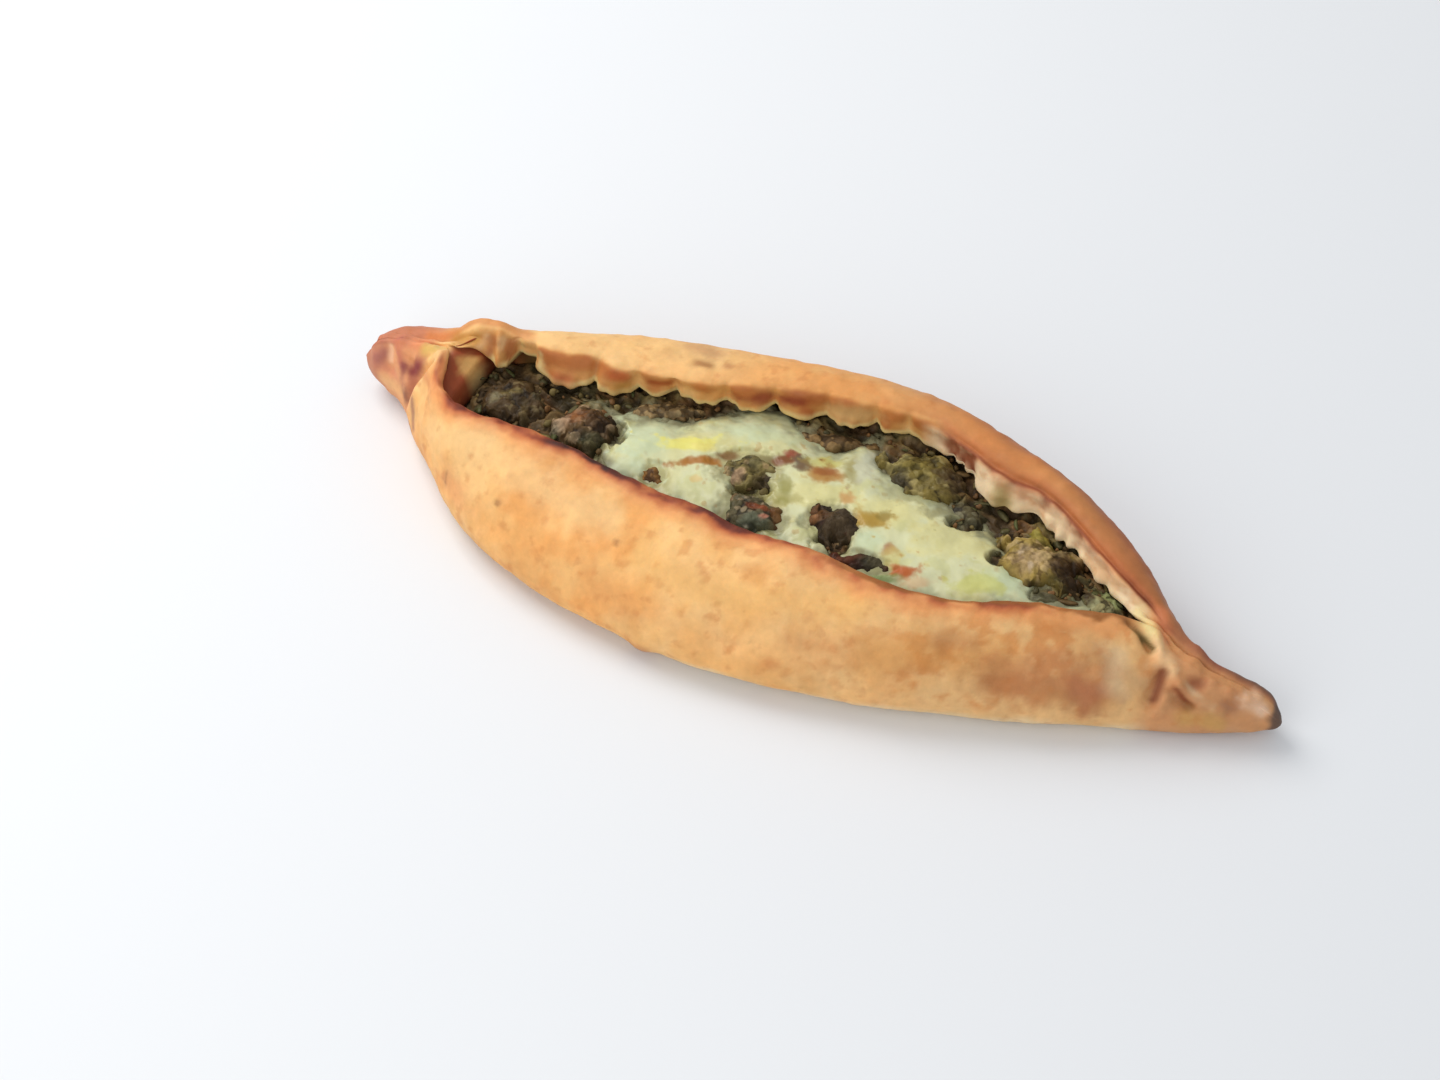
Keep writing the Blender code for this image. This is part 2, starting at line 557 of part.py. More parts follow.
def food_material(name, color, roughness):
    material = bpy.data.materials.new(name)
    material.use_nodes = True
    shader = material.node_tree.nodes["Principled BSDF"]
    shader.inputs["Base Color"].default_value = (*color, 1)
    shader.inputs["Roughness"].default_value = roughness
    shader.inputs["Metallic"].default_value = 0
    return material


def make_dough():
    share = np.linspace(0, 1, STATIONS)
    middle, half = (LEFT_TIP + RIGHT_TIP) / 2, (RIGHT_TIP - LEFT_TIP) / 2 - 0.03
    even, crowded = 2 * share - 1, -np.cos(np.pi * share)
    grid = dough_surface(middle + half * mix(even, crowded, 0.5), SPAN_SAMPLES)
    lofted_object("dough", grid, food_material("baked_crust", (0.78, 0.46, 0.19), 0.6))


def make_cheese():
    """The cheese, with a hole for each clump that stands up through it."""
    material = food_material("melted_cheese", (0.72, 0.74, 0.45), 0.35)
    cheese = lofted_object("cheese", cheese_surface(), material)
    room = bpy.data.collections.new("clump_room")
    bpy.context.scene.collection.children.link(room)
    for name in CLUMPS:
        cutter = clump_cutter(name, material)
        bpy.context.scene.collection.objects.unlink(cutter)
        room.objects.link(cutter)
    cut = cheese.modifiers.new("clump_room", "BOOLEAN")
    cut.operation = "DIFFERENCE"
    cut.operand_type = "COLLECTION"
    cut.collection = room
    cut.solver = "EXACT"


def make_clumps():
    for name in CLUMPS:
        color = (0.16, 0.14, 0.05) if name == "large_clump" else (0.08, 0.055, 0.03)
        clump_object(name, food_material(name + "_crumb", color, 0.5))


def main():
    for item in list(bpy.data.objects):
        bpy.data.objects.remove(item)
    make_dough()
    greens = food_material("cooked_greens", (0.05, 0.055, 0.03), 0.45)
    lofted_object("filling", bed_surface(), greens)
    make_cheese()
    make_clumps()


main()
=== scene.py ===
"""The looks of a baked pide: its browned crust, cooked greens, melted cheese and grainy clumps.

The shape tables repeat those of the solids, in millimetres, before the whole is moved so that the
middle of its outline lies over the origin. Every mesh is built in millimetres and scaled to metres.
"""

import math

import bmesh
import bpy
import numpy as np
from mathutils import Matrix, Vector


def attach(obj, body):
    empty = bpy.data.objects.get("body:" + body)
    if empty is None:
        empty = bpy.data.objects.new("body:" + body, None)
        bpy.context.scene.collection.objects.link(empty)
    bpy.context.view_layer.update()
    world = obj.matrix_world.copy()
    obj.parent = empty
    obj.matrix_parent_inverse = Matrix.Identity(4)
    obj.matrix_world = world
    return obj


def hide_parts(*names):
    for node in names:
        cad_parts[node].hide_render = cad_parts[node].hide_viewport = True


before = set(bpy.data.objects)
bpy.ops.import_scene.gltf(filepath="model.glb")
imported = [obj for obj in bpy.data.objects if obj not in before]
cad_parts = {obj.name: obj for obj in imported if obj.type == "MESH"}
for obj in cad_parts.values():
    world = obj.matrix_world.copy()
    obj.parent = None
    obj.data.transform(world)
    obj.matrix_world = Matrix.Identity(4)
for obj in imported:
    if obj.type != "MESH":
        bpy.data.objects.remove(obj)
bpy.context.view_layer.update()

MM = 0.001
MIDDLE = (-1.0, -2.8, 0.0)

# The boat
LEFT_TIP, RIGHT_TIP = -152.0, 150.0
LEFT_NOSE, RIGHT_NOSE = 10.0, 8.0
BASE_THICKNESS = 6.0
WALL_THICKNESS = 5.5
FOOT_INSET = 11.0
END_LOBE_HEIGHT = 18.0
UNEVENNESS = 0.35
GAP = 0.4
BED_CLEARANCE = 1.5
CHEESE_LEFT, CHEESE_RIGHT = -66.0, 84.0

# How finely the crust is divided along its length and round its section
CRUST_STATIONS = 420
CRUST_SPANS = (3, 2, 4, 14, 16, 18, 8, 6, 4, 3, 3, 3, 3, 3, 4, 6, 8, 14, 14, 14, 14, 14, 8, 4, 3)


def smooth_curve(*keys):
    """A smooth curve through (x, value) keys that never overshoots them."""
    places, values = (np.array(column, float) for column in zip(*keys))
    steps = np.diff(places)
    slopes = np.diff(values) / steps
    tangents = np.zeros_like(values)
    for i in range(1, len(places) - 1):
        before, after = slopes[i - 1], slopes[i]
        if before * after > 0:
            first = 2 * steps[i] + steps[i - 1]
            second = steps[i] + 2 * steps[i - 1]
            tangents[i] = (first + second) / (first / before + second / after)
    tangents[0], tangents[-1] = slopes[0], slopes[-1]

    def value_at(x):
        x = np.clip(x, places[0], places[-1])
        i = np.clip(np.searchsorted(places, x) - 1, 0, len(places) - 2)
        t = (x - places[i]) / steps[i]
        start = values[i] * (1 + 2 * t) + steps[i] * tangents[i] * t
        end = values[i + 1] * (3 - 2 * t) + steps[i] * tangents[i + 1] * (t - 1)
        return start * (1 - t) ** 2 + end * t**2

    return value_at


def ease(x, low, high):
    """0 below low, 1 above high, and a smooth rise between them."""
    t = np.clip((x - low) / (high - low), 0, 1)
    return t * t * (3 - 2 * t)


def mix(a, b, t):
    return a + (b - a) * t


# How far the boat reaches to its near and far sides, along its length
near_reach = smooth_curve(
    (-152, 1), (-143, 3), (-136, 6), (-128, 13.5), (-117, 23), (-99, 38.5), (-80, 47.5), (-59, 53),
    (-38, 56), (-15, 57), (5, 55.5), (25, 51.5), (45, 46), (65, 39), (85, 32), (105, 23.5), (118, 17),
    (131, 11.5), (141, 6.5), (150, 3),
)
far_reach = smooth_curve(
    (-152, 7.5), (-147, 9.5), (-143, 12.5), (-134, 15.5), (-124, 17), (-112, 19), (-100, 22.5),
    (-85, 29.5), (-68, 37), (-45, 43.3), (-20, 48.3), (5, 51.3), (25, 51.5), (45, 48), (62, 41.7),
    (78, 36), (92, 28.8), (105, 18.8), (114, 10.5), (122, 6), (130, 4.8), (150, 5),
)

# The thin rim of the near flap
near_rim_y = smooth_curve(
    (-152, 4), (-130, 4), (-124, 1.5), (-120.4, -3), (-118.5, -8), (-116.2, -12), (-112, -15.2),
    (-106, -17.6), (-98, -18.4), (-89, -17.8), (-70, -17.8), (-52, -20.3), (-30, -22.5), (-9, -23),
    (12, -22), (34, -23.4), (48, -22.2), (59, -19), (70, -13.5), (80, -8.5), (96, -3), (106, 0),
    (115, -1), (125, -2), (150, -1),
)
near_rim_z = smooth_curve(
    (-152, 20), (-140, 23.5), (-130, 27), (-125, 29.5), (-119, 33), (20, 33), (70, 32), (100, 29),
    (115, 23), (130, 18), (150, 13),
)

# The lip of the far roll, where its lobes hang lowest
lip_line = smooth_curve(
    (-152, 5), (-128, 5.5), (-121, 7), (-116, 9.4), (-112.8, 8.4), (-109.5, 7.6), (-105.5, 7.4),
    (-101, 8.8), (-92, 8.8), (-80, 8), (-73, 11), (-67.5, 12.8), (-58, 17), (-48, 19.8), (-41, 21),
    (-32, 23.8), (-22, 27), (-12, 29.4), (2, 32.4), (12, 35), (18, 36), (28, 36), (34, 35), (39.5, 32.2),
    (42.5, 29.6), (44.7, 26.6), (48, 24.5), (53, 23.9), (59, 24.6), (63, 25.6), (66, 24.6), (73, 20.8),
    (78.5, 18.8), (82.7, 17), (86, 13.6), (90, 11.4), (94.5, 9.8), (98, 7.6), (102, 4.6), (110, 2),
    (125, -1), (150, 0),
)
lip_z = smooth_curve(
    (-152, 17), (-140, 21), (-130, 22), (-124, 24), (-117, 27.5), (-107, 24), (20, 24), (60, 23.5), (90, 23),
    (105, 22), (115, 20), (130, 16), (150, 11),
)
# The notches of its scalloped edge and their depths
SCALLOP_NOTCHES = (-102.4, -97.0, -76.8, -63.6, -52.4, -37.0, -23.4, -7.8, 6.8, 17)
NOTCH_DEPTHS = (4.6, 4.6, 4.6, 2.6, 2.3, 2.6, 3.4, 2.8, 2.8, 1.4)
# How round each lobe between two notches is: 0 leaves a gap, 1 runs to a point, 2 and more is round
LOBE_SHAPES = (0, 2.4, 2.2, 2.2, 1.9, 1.5, 1.7, 2.0, 1.8)

# The crease where the far roll turns down into its inner face, and the top of the roll
ridge_y = smooth_curve(
    (-152, 6), (-130, 7.5), (-116, 11.8), (-104, 12.8), (-94, 12.2), (-87, 13), (-80, 15.6), (-75.5, 16),
    (-71, 15.2), (-66, 15.9), (-61, 17), (-55, 18), (-45, 20.4), (-36, 23.8), (-28, 27), (-18, 30.5),
    (-8, 33.4), (3, 35.2), (14, 37), (24, 37.6), (31, 35.8), (39, 33.4), (47, 30.4), (54, 29), (62, 28.4),
    (70, 25.6), (78.7, 20.9), (87, 16), (95, 12), (100, 10), (106, 7.6), (114, 3.5), (122, 2), (130, 1),
    (150, 1),
)
ridge_z = smooth_curve(
    (-152, 17.5), (-144, 21.2), (-138, 22.3), (-131, 23), (-125, 25.3), (-120, 29.5), (-113, 32),
    (-105, 33), (0, 33.6), (50, 33), (85, 31), (105, 27), (118, 22), (130, 18), (150, 13),
)
roll_z = smooth_curve(
    (-152, 17.8), (-144, 21.6), (-138, 22.8), (-131, 23.7), (-125, 26.3), (-120, 31), (-114, 33.3),
    (-105, 33.5), (-60, 34.2), (0, 34.7), (50, 34.6), (85, 32.6), (105, 27.6), (118, 21), (130, 17),
    (150, 12),
)

# How far the underside lifts off the table at the two tips
tip_lift = smooth_curve(
    (-152, 6), (-141, 3.5), (-132, 1.2), (-124, 0), (118, 0), (128, 0.8), (138, 2.2), (150, 4.5),
)

# The level of the filling against the near wall
near_level = smooth_curve((-120, 20), (-85, 24), (-60, 25.2), (80, 25.2), (100, 23.5), (110, 22.5))

# The near and far edges of the melted cheese
cheese_near = smooth_curve(
    (-66, -6), (-58, -14), (-45, -17), (-25, -20), (0, -20.5), (20, -19.5), (45, -19.5), (60, -16),
    (72, -10.5), (80, -7.6), (84, -6.8),
)
cheese_far = smooth_curve(
    (-66, 0), (-58, 4.5), (-50, 9), (-43, 11.5), (-37, 16.5), (-30, 22), (-21, 24.5), (-14, 23), (-6, 20),
    (2, 18.5), (8, 22), (15, 20.5), (24, 16), (32, 16), (40, 12.5), (46, 11.5), (52, 13.5), (57.5, 10.5),
    (62, 4.5), (68, -1.5), (74, -4), (84, -5),
)

# Raised and pressed-in folds: the points each one runs through, its half width and its height.
# The left knob: its crease against the near flap, the flap's end, its hollow and its groove.
KNOB_FOLDS = (
    (((-123.7, -5.5, 28.5), (-128.9, -6.2, 20.3), (-129.9, -7.3, 17.3), (-131, -9.1, 8)), 1.9, -3.0),
    (((-120.5, -9, 30), (-125, -10, 23), (-127, -12, 12)), 3.0, 1.4),
    (((-133, -1, 22.5), (-132, -4, 20)), 2.4, -1.2),
    (((-142.7, 0.6, 20.6), (-141.5, -2, 15)), 2.2, -1.5),
    (((-138, 4, 23), (-136.5, 1.5, 22.5)), 3.2, 1.2),
    (((-148, 2, 15), (-146.5, 0, 12)), 3.0, 0.8),
    (((-127.5, -1.9, 27), (-122.5, 0.2, 30.5), (-119.5, 3, 30.5)), 1.7, -0.8),
)
# The wide pleat at the left end of the roll, and the bump and dip above it
PLEAT_FOLDS = (
    (((-112.8, 7.5, 29.8), (-111.1, 4.6, 26.2)), 1.6, 1.3),
    (((-110.4, 9.5, 32), (-109.2, 6.5, 26)), 1.4, -1.2),
    (((-108.4, 11.7, 33.2), (-107, 9, 27.2), (-106.5, 6.5, 25)), 1.2, 1.6),
    (((-104.6, 11.5, 32), (-104, 8.5, 26.5)), 1.6, -1.2),
    (((-101.6, 12.5, 31), (-101.3, 10, 27)), 1.3, 0.9),
    (((-116, 12, 34), (-112, 13, 35)), 4.5, 1.3),
    (((-103, 16, 34), (-99, 18, 34)), 4.0, -0.9),
)
# The pinches of the right tail
TAIL_FOLDS = (
    (((102, 6, 27), (106, 3.5, 27), (110, 0, 26), (115, -6.4, 22), (119, -6.3, 20.5)), 2.0, 1.4),
    (((104.3, -1.9, 28), (108, -3.6, 26), (111.5, -5.2, 24)), 1.4, -1.8),
    (((116.9, -8.1, 20), (116.4, -11.3, 18), (116, -13.9, 15)), 2.0, -1.9),
    (((121.3, -9.1, 17.5), (119.8, -12.6, 14), (118.1, -15.7, 10)), 1.8, 1.0),
    (((121, -10.5, 16), (123.5, -11.3, 13.6), (126.5, -11.2, 12.4)), 1.8, -1.8),
    (((121.8, -8.4, 18), (125.7, -9, 15.5), (130.6, -8.2, 13.6), (135.1, -7.4, 11.6)), 1.6, 0.9),
    (((126.3, -6.6, 17.6), (127, -5.6, 17.6)), 2.2, -1.2),
    (((134.7, -5.5, 14.8), (138, -4.7, 14)), 2.0, -0.9),
    (((122.6, 2.9, 20.6), (123.5, 2.6, 20.4)), 2.2, 0.9),
)
# A blister low on the near wall
BLISTERS = ((((-25.5, -55.7, 4.6), (-24, -55.7, 4.6)), 3.0, 1.3),)

# The browned clumps: centre, half length, half width, turn in degrees and height
CLUMPS = {
    "left_clump": (-96.0, -3.0, 11.0, 8.5, -25, 5.0),
    "round_clump": (-70.2, -5.0, 10.5, 9.0, 10, 5.6),
    "upper_clump": (-19.3, 1.6, 8.6, 7.5, 27, 4.6),
    "lower_clump": (-9.6, -13.2, 9.4, 6.8, 0, 4.6),
    "button_clump": (12.4, -6.6, 7.8, 7.0, -30, 5.6),
    "flat_flake": (24.6, -15.8, 9.6, 3.3, 11, 3.2),
    "olive_clump": (28.0, 25.2, 14.0, 8.6, 0, 4.8),
    "dark_clump": (45.2, 18.6, 5.2, 3.4, 15, 2.2),
    "large_clump": (72.4, 9.8, 14.2, 9.6, -18, 6.0),
    "far_strip": (-52.0, 14.2, 9.6, 3.4, 28, 2.6),
    "middle_strip": (-1.0, 26.6, 12.5, 3.4, 14, 2.6),
    "right_clump": (92.0, 3.4, 5.0, 3.6, -30, 2.8),
    "small_bit": (-42.4, -12.4, 3.6, 4.0, 20, 2.6),
}


def scallop(x):
    """How far the lip draws back at x: nothing along a lobe, most at the notch between two lobes."""
    back = np.zeros_like(x)
    for i, shape in enumerate(LOBE_SHAPES):
        left, right = SCALLOP_NOTCHES[i], SCALLOP_NOTCHES[i + 1]
        t = (x - left) / (right - left)
        inside = (t >= 0) & (t <= 1)
        depth = np.where(t < 0.5, NOTCH_DEPTHS[i], NOTCH_DEPTHS[i + 1])
        lobe = np.abs(2 * np.clip(t, 0, 1) - 1) ** shape
        back = np.where(inside, depth * lobe, back)
    first = NOTCH_DEPTHS[0] * np.clip(1 - (SCALLOP_NOTCHES[0] - x) / 2.0, 0, 1)
    last = NOTCH_DEPTHS[-1] * np.clip(1 - (x - SCALLOP_NOTCHES[-1]) / 5.0, 0, 1)
    back = np.where(x < SCALLOP_NOTCHES[0], first, back)
    return np.where(x > SCALLOP_NOTCHES[-1], last, back)


def opening(x):
    """1 where the boat is open, 0 where its ends are pinched shut."""
    return ease(x, -122, -112) * (1 - ease(x, 94, 114))


def end_lobe(x):
    """1 where a lobe of dough fills the left end of the hollow, 0 to the right of it."""
    return 1 - ease(x, -113, -107)


def dough_section(x):
    """The 25 points that the dough's section runs through at each x, as (y, z)."""
    near, far = near_reach(x), far_reach(x)
    lobe = end_lobe(x)
    floor = BASE_THICKNESS + END_LOBE_HEIGHT * lobe
    rim_y, rim_z = near_rim_y(x), near_rim_z(x)
    edge_y, edge_z = lip_line(x) + scallop(x), lip_z(x) + 0.4 * scallop(x)
    top_y, top_z = ridge_y(x) + 0.15 * scallop(x), ridge_z(x)
    low = np.minimum(rim_z, roll_z(x)) * 0.3
    near_inset = np.minimum(FOOT_INSET, 0.5 * near)
    far_inset = np.minimum(FOOT_INSET, 0.5 * far)
    shoulder = far - 0.12 * (far - top_y)
    middle = (far - near) / 2
    outside_near = (
        (middle, 0),
        (-near + near_inset, 0),
        (-near + 0.22 * near_inset, 0.28 * low),
        (-near, low),
        (mix(-near, rim_y, 0.24), mix(low, rim_z, 0.52)),
        (mix(-near, rim_y, 0.62), mix(low, rim_z, 0.90)),
        (rim_y - 1.4, rim_z),
    )
    inside = (
        (rim_y + 0.6, rim_z - 1.8),
        (rim_y - 1.6, rim_z - 4.2),
        (mix(-near, rim_y, 0.66), mix(low, rim_z, 0.90) - 5.2),
        (mix(-near, rim_y, 0.24) + 4.4, np.maximum(mix(low, rim_z, 0.52) - 3.4, floor + 1.0)),
        (mix(-near + WALL_THICKNESS + 3, middle, 0.4 * lobe), floor + 2.2),
        (middle, floor + 1.5 * lobe),
        (mix(far - WALL_THICKNESS - 3, middle, 0.4 * lobe), floor + 2.2),
        (far - WALL_THICKNESS, mix(floor, edge_z, 0.62)),
        (mix(edge_y, far, 0.62), edge_z + 2.2),
        (edge_y + 2.0, edge_z - 0.2),
        (edge_y, edge_z + 0.6),
    )
    outside_far = (
        (mix(edge_y, top_y, 0.42), mix(edge_z, top_z, 0.52)),
        (top_y, top_z),
        (mix(top_y, shoulder, 0.5), np.maximum(roll_z(x), top_z)),
        (shoulder, mix(low, roll_z(x), 0.82)),
        (far, mix(low, roll_z(x), 0.25)),
        (far - 0.22 * far_inset, 0.28 * low),
        (far - far_inset, 0),
    )
    points = list(outside_near)
    seam_depth = mix(0.15, 1.0, ease(x, -136, -128) * (1 - ease(x, 112, 119)))
    for k, (y, z) in enumerate(inside):
        t = k / (len(inside) - 1)
        seam_y = (rim_y + edge_y) / 2 + mix(-1.0, 1.0, t)
        seam_z = (rim_z + top_z) / 2 - 0.2 - seam_depth * math.sin(math.pi * t)
        points.append((mix(seam_y, y, opening(x)), mix(seam_z, z, opening(x))))
    points.extend(outside_far)
    return np.stack([np.stack([y + 0 * x, z + 0 * x], -1) for y, z in points], 1)


def closed_spline(points, samples):
    """A closed curve through each row of points, with samples[k] places on its span k."""
    count = points.shape[1]
    curve = []
    for i in range(count):
        a, b, c, d = (points[:, (i + j) % count] for j in (-1, 0, 1, 2))
        ab, bc, cd = (
            np.sqrt(np.maximum(np.linalg.norm(q - p, axis=-1, keepdims=True), 1e-6))
            for p, q in ((a, b), (b, c), (c, d))
        )
        leaving = ((b - a) / ab - (c - a) / (ab + bc) + (c - b) / bc) * bc
        arriving = ((c - b) / bc - (d - b) / (bc + cd) + (d - c) / cd) * bc
        for j in range(samples[i]):
            t = j / samples[i]
            start = (2 * t**3 - 3 * t**2 + 1) * b + (t**3 - 2 * t**2 + t) * leaving
            end = (3 * t**2 - 2 * t**3) * c + (t**3 - t**2) * arriving
            curve.append(start + end)
    return np.stack(curve, 1)


def tip_fullness(x):
    """1 along the body, falling to 0 at the tips along a quarter circle."""
    left = np.clip((x - LEFT_TIP) / LEFT_NOSE, 0, 1)
    right = np.clip((RIGHT_TIP - x) / RIGHT_NOSE, 0, 1)
    return np.sqrt(1 - (1 - left) ** 2) * np.sqrt(1 - (1 - right) ** 2)


def outward(grid):
    """Unit normals of a grid of closed rings, pointing out of the dough."""
    along = np.gradient(grid, axis=0)
    around = np.roll(grid, -1, 1) - np.roll(grid, 1, 1)
    normal = np.cross(along, around)
    return normal / np.maximum(np.linalg.norm(normal, axis=-1, keepdims=True), 1e-9)


def distance_to(points, path):
    """The distance from each point to a path of straight runs."""
    nearest = np.full(points.shape[:-1], np.inf)
    for start, end in zip(path[:-1], path[1:]):
        start, run = np.array(start), np.subtract(end, start)
        t = np.clip((points - start) @ run / (run @ run), 0, 1)
        nearest = np.minimum(nearest, np.linalg.norm(points - start - t[..., None] * run, axis=-1))
    return nearest


def ripples(points, seed, wavelength, waves=6):
    """Soft seeded unevenness between about -1 and 1."""
    random = np.random.default_rng(seed)
    total = np.zeros(points.shape[:-1])
    for _ in range(waves):
        direction = random.normal(size=3)
        direction *= 2 * np.pi / wavelength / np.linalg.norm(direction) * random.uniform(0.7, 1.4)
        total += np.sin(points @ direction + random.uniform(0, 2 * np.pi))
    return total / (waves / 2)


def far_level(x):
    """The level of the filling under the lip of the roll."""
    return lip_z(x) - 1.8 - 3 * (1 - ease(x, -112, -85))


def level(x, y):
    """The smooth height of the filling, without its bumps: level under the lip, rising to the flap."""
    near_y = bed_edges(x.reshape(-1))[0].reshape(x.shape)
    t = np.clip((y - near_y) / (lip_line(x) - near_y), 0, 1)
    return mix(near_level(x), far_level(x), t) + 4.8 * t * (1 - t) * ease(x, -110, -70)


def bed_edges(x):
    """The near and far ends of the filling's top, tucked under the flap and the roll."""
    section = dough_section(x)
    near_wall, far_wall = section[:, 9], section[:, 14]
    near_lean, far_lean = section[:, 8] - near_wall, section[:, 15] - far_wall
    near_share = np.clip((near_level(x) + 0.5 - near_wall[:, 1]) / near_lean[:, 1], 0, 1)
    far_share = np.clip((far_level(x) + 0.5 - far_wall[:, 1]) / far_lean[:, 1], 0, 1)
    near_y = near_wall[:, 0] + near_share * near_lean[:, 0]
    far_y = far_wall[:, 0] + far_share * far_lean[:, 0]
    return near_y + BED_CLEARANCE, far_y - BED_CLEARANCE


def tint(red, green, blue):
    """A colour as it looks on a screen, from 0 to 255, in linear light."""
    share = np.array((red, green, blue)) / 255
    return np.where(share <= 0.04045, share / 12.92, ((share + 0.055) / 1.055) ** 2.4)


def over(color, other, amount):
    """Colours painted over with another, by an amount from 0 to 1."""
    return mix(color, other, np.clip(amount, 0, 1)[..., None])


def cloud(points, size, seed, octaves=4):
    """Seeded cloudy unevenness, mostly between -1 and 1, whose largest lumps are about this size."""
    random = np.random.default_rng(seed)
    places = points / size
    total, strength = np.zeros(points.shape[:-1]), 1.3
    for _ in range(octaves):
        values = random.uniform(-1, 1, 2048)
        spin = np.linalg.qr(random.normal(size=(3, 3)))[0]
        turned = places @ spin + random.uniform(50, 90, 3)
        corner = np.floor(turned).astype(int)
        part = turned - corner
        part = part**3 * (part * (6 * part - 15) + 10)
        for step in np.ndindex(2, 2, 2):
            number = (corner + step) @ (127, 311, 719) % len(values)
            total += strength * values[number] * np.prod(np.where(step, part, 1 - part), axis=-1)
        places = places * 2.1
        strength *= 0.5
    return total


# The crust's colours
GOLD = tint(238, 182, 112)
PALE_GOLD = tint(247, 203, 140)
ORANGE = tint(226, 152, 80)
TOAST = tint(200, 124, 62)
BROWN = tint(164, 88, 46)
RED_BROWN = tint(150, 70, 38)
DARK = tint(96, 40, 26)
CHAR = tint(46, 24, 20)
CREAM = tint(238, 212, 168)
LIP_CREAM = tint(248, 222, 180)
ASH = tint(82, 64, 56)

# How strongly the near rim is charred along its length
rim_char = smooth_curve(
    (-124, 0.3), (-105, 0.55), (-80, 0.6), (-68, 0.8), (-60, 1.35), (-48, 1.3), (-40, 0.65), (-28, 0.75),
    (-20, 1.0), (-4, 0.9), (8, 0.6), (22, 0.6), (38, 0.4), (50, 0.25), (66, 0.3), (76, 0.3), (90, 0.2),
    (104, 0.1), (112, 0.0),
)

# Patches of colour on the crust, among them painted highlights and painted shade: a path, its half width,
# the colour and how strong it is
WALL_PATCHES = (
    (((40, -42, 22), (60, -33, 24.5), (76, -27, 24)), 6.5, tint(212, 146, 74), 0.6),
    (((74, -31, 18), (84, -27, 17), (94, -24, 16), (103, -20.5, 14.5)), 5.0, tint(172, 106, 56), 0.75),
    (((101, -14, 23), (103, -13.4, 23)), 3.0, tint(196, 136, 84), 0.7),
    (((58, -31, 27), (66, -28, 27)), 3.0, BROWN, 0.3),
    (((82, -27, 20), (90, -21, 24), (100, -20, 19)), 6.5, tint(196, 130, 80), 0.7),
    (((84, -14.4, 29.8), (87, -14, 29.5)), 2.0, TOAST, 0.6),
    (((1, -36, 30), (4, -36, 30)), 3.4, TOAST, 0.5),
    (((-40, -52, 15), (-28, -51, 18)), 8.0, ORANGE, 0.6),
    (((-124, -19, 8), (-117, -25, 6)), 5.0, tint(214, 142, 88), 0.6),
    (((-100, -35, 17), (-95, -37, 16)), 5.0, tint(222, 152, 96), 0.7),
    (((-70, -44, 20), (-62, -46, 19)), 4.5, tint(238, 168, 92), 0.5),
    (((2, -45, 22), (8, -44, 22.5)), 5.0, tint(218, 156, 84), 0.5),
    (((10, -52, 10), (26, -48, 9)), 5.0, tint(206, 154, 92), 0.6),
    (((-84, -42, 15), (-60, -50, 11)), 7.0, ORANGE, 0.35),
    (((-8, -54, 14), (20, -49, 17)), 6.0, ORANGE, 0.25),
    (((20, -46, 22), (34, -43, 21)), 5.0, TOAST, 0.3),
    (
        ((-112, -24, 24), (-96, -27.7, 30), (-77, -31, 29.7), (-61, -35.5, 29.2), (-45, -36, 30)),
        6.0, PALE_GOLD, 0.65,
    ),
    (((-31, -42.8, 26), (-11, -44.5, 25.6), (12, -39, 28), (33, -34, 30)), 5.5, tint(226, 170, 92), 0.45),
    (((104, -12, 24), (106, -16, 18)), 4.0, CREAM, 0.5),
    (((-101.3, -33.2, 18.6), (-101.1, -34.6, 15.8)), 0.95, DARK, 0.8),
    (((-87.2, -38.7, 20.3), (-87, -38.9, 19.8)), 1.0, TOAST, 0.7),
    (((-80.8, -39.5, 21.8), (-80.2, -39.6, 21.7)), 0.9, DARK, 0.65),
    (((-40.4, -41, 27.2), (-40, -41, 27.2)), 0.8, DARK, 0.6),
    (((7.7, -49.8, 19.1), (8, -49.8, 19.1)), 0.7, CHAR, 0.7),
    (((14, -50.5, 14), (16, -50, 14)), 1.4, TOAST, 0.7),
    (((-25.5, -55.7, 4.6), (-23.5, -55.7, 5)), 2.4, RED_BROWN, 0.7),
)
ROLL_PATCHES = (
    (((-48.3, 27.2, 34.4), (-45, 27.8, 34.5)), 1.8, tint(158, 100, 48), 0.8),
    (((-40, 30, 34.6), (-39, 30, 34.6)), 1.5, BROWN, 0.5),
    (((-54, 34.5, 32.8), (-46, 34.5, 32.8)), 3.6, tint(188, 134, 90), 0.6),
    (((-87, 9.2, 27), (-84, 9.2, 27)), 2.8, tint(180, 92, 46), 0.7),
    (((-76, 14, 30), (-73, 14.3, 30)), 2.2, tint(196, 120, 62), 0.6),
    (((-70.5, 14.1, 30.7), (-67, 14.6, 30.7)), 2.2, tint(204, 104, 56), 0.75),
    (((-69.5, 13.6, 27.2), (-65.5, 14.6, 27.4)), 2.0, tint(190, 136, 60), 0.7),
    (((-59.5, 17.6, 30.2), (-53.5, 19, 30.4)), 2.1, tint(172, 80, 34), 0.85),
    (((-33, 25.5, 29), (-24, 28, 29.8), (-15, 30, 30.6)), 2.2, tint(150, 58, 34), 0.85),
    (((-14, 30, 27.8), (-11.5, 30, 27.4)), 2.1, tint(172, 84, 30), 0.8),
    (((-6, 32.4, 29), (0, 33.4, 29.6), (6, 35.4, 29.6)), 3.0, tint(212, 168, 108), 0.85),
)
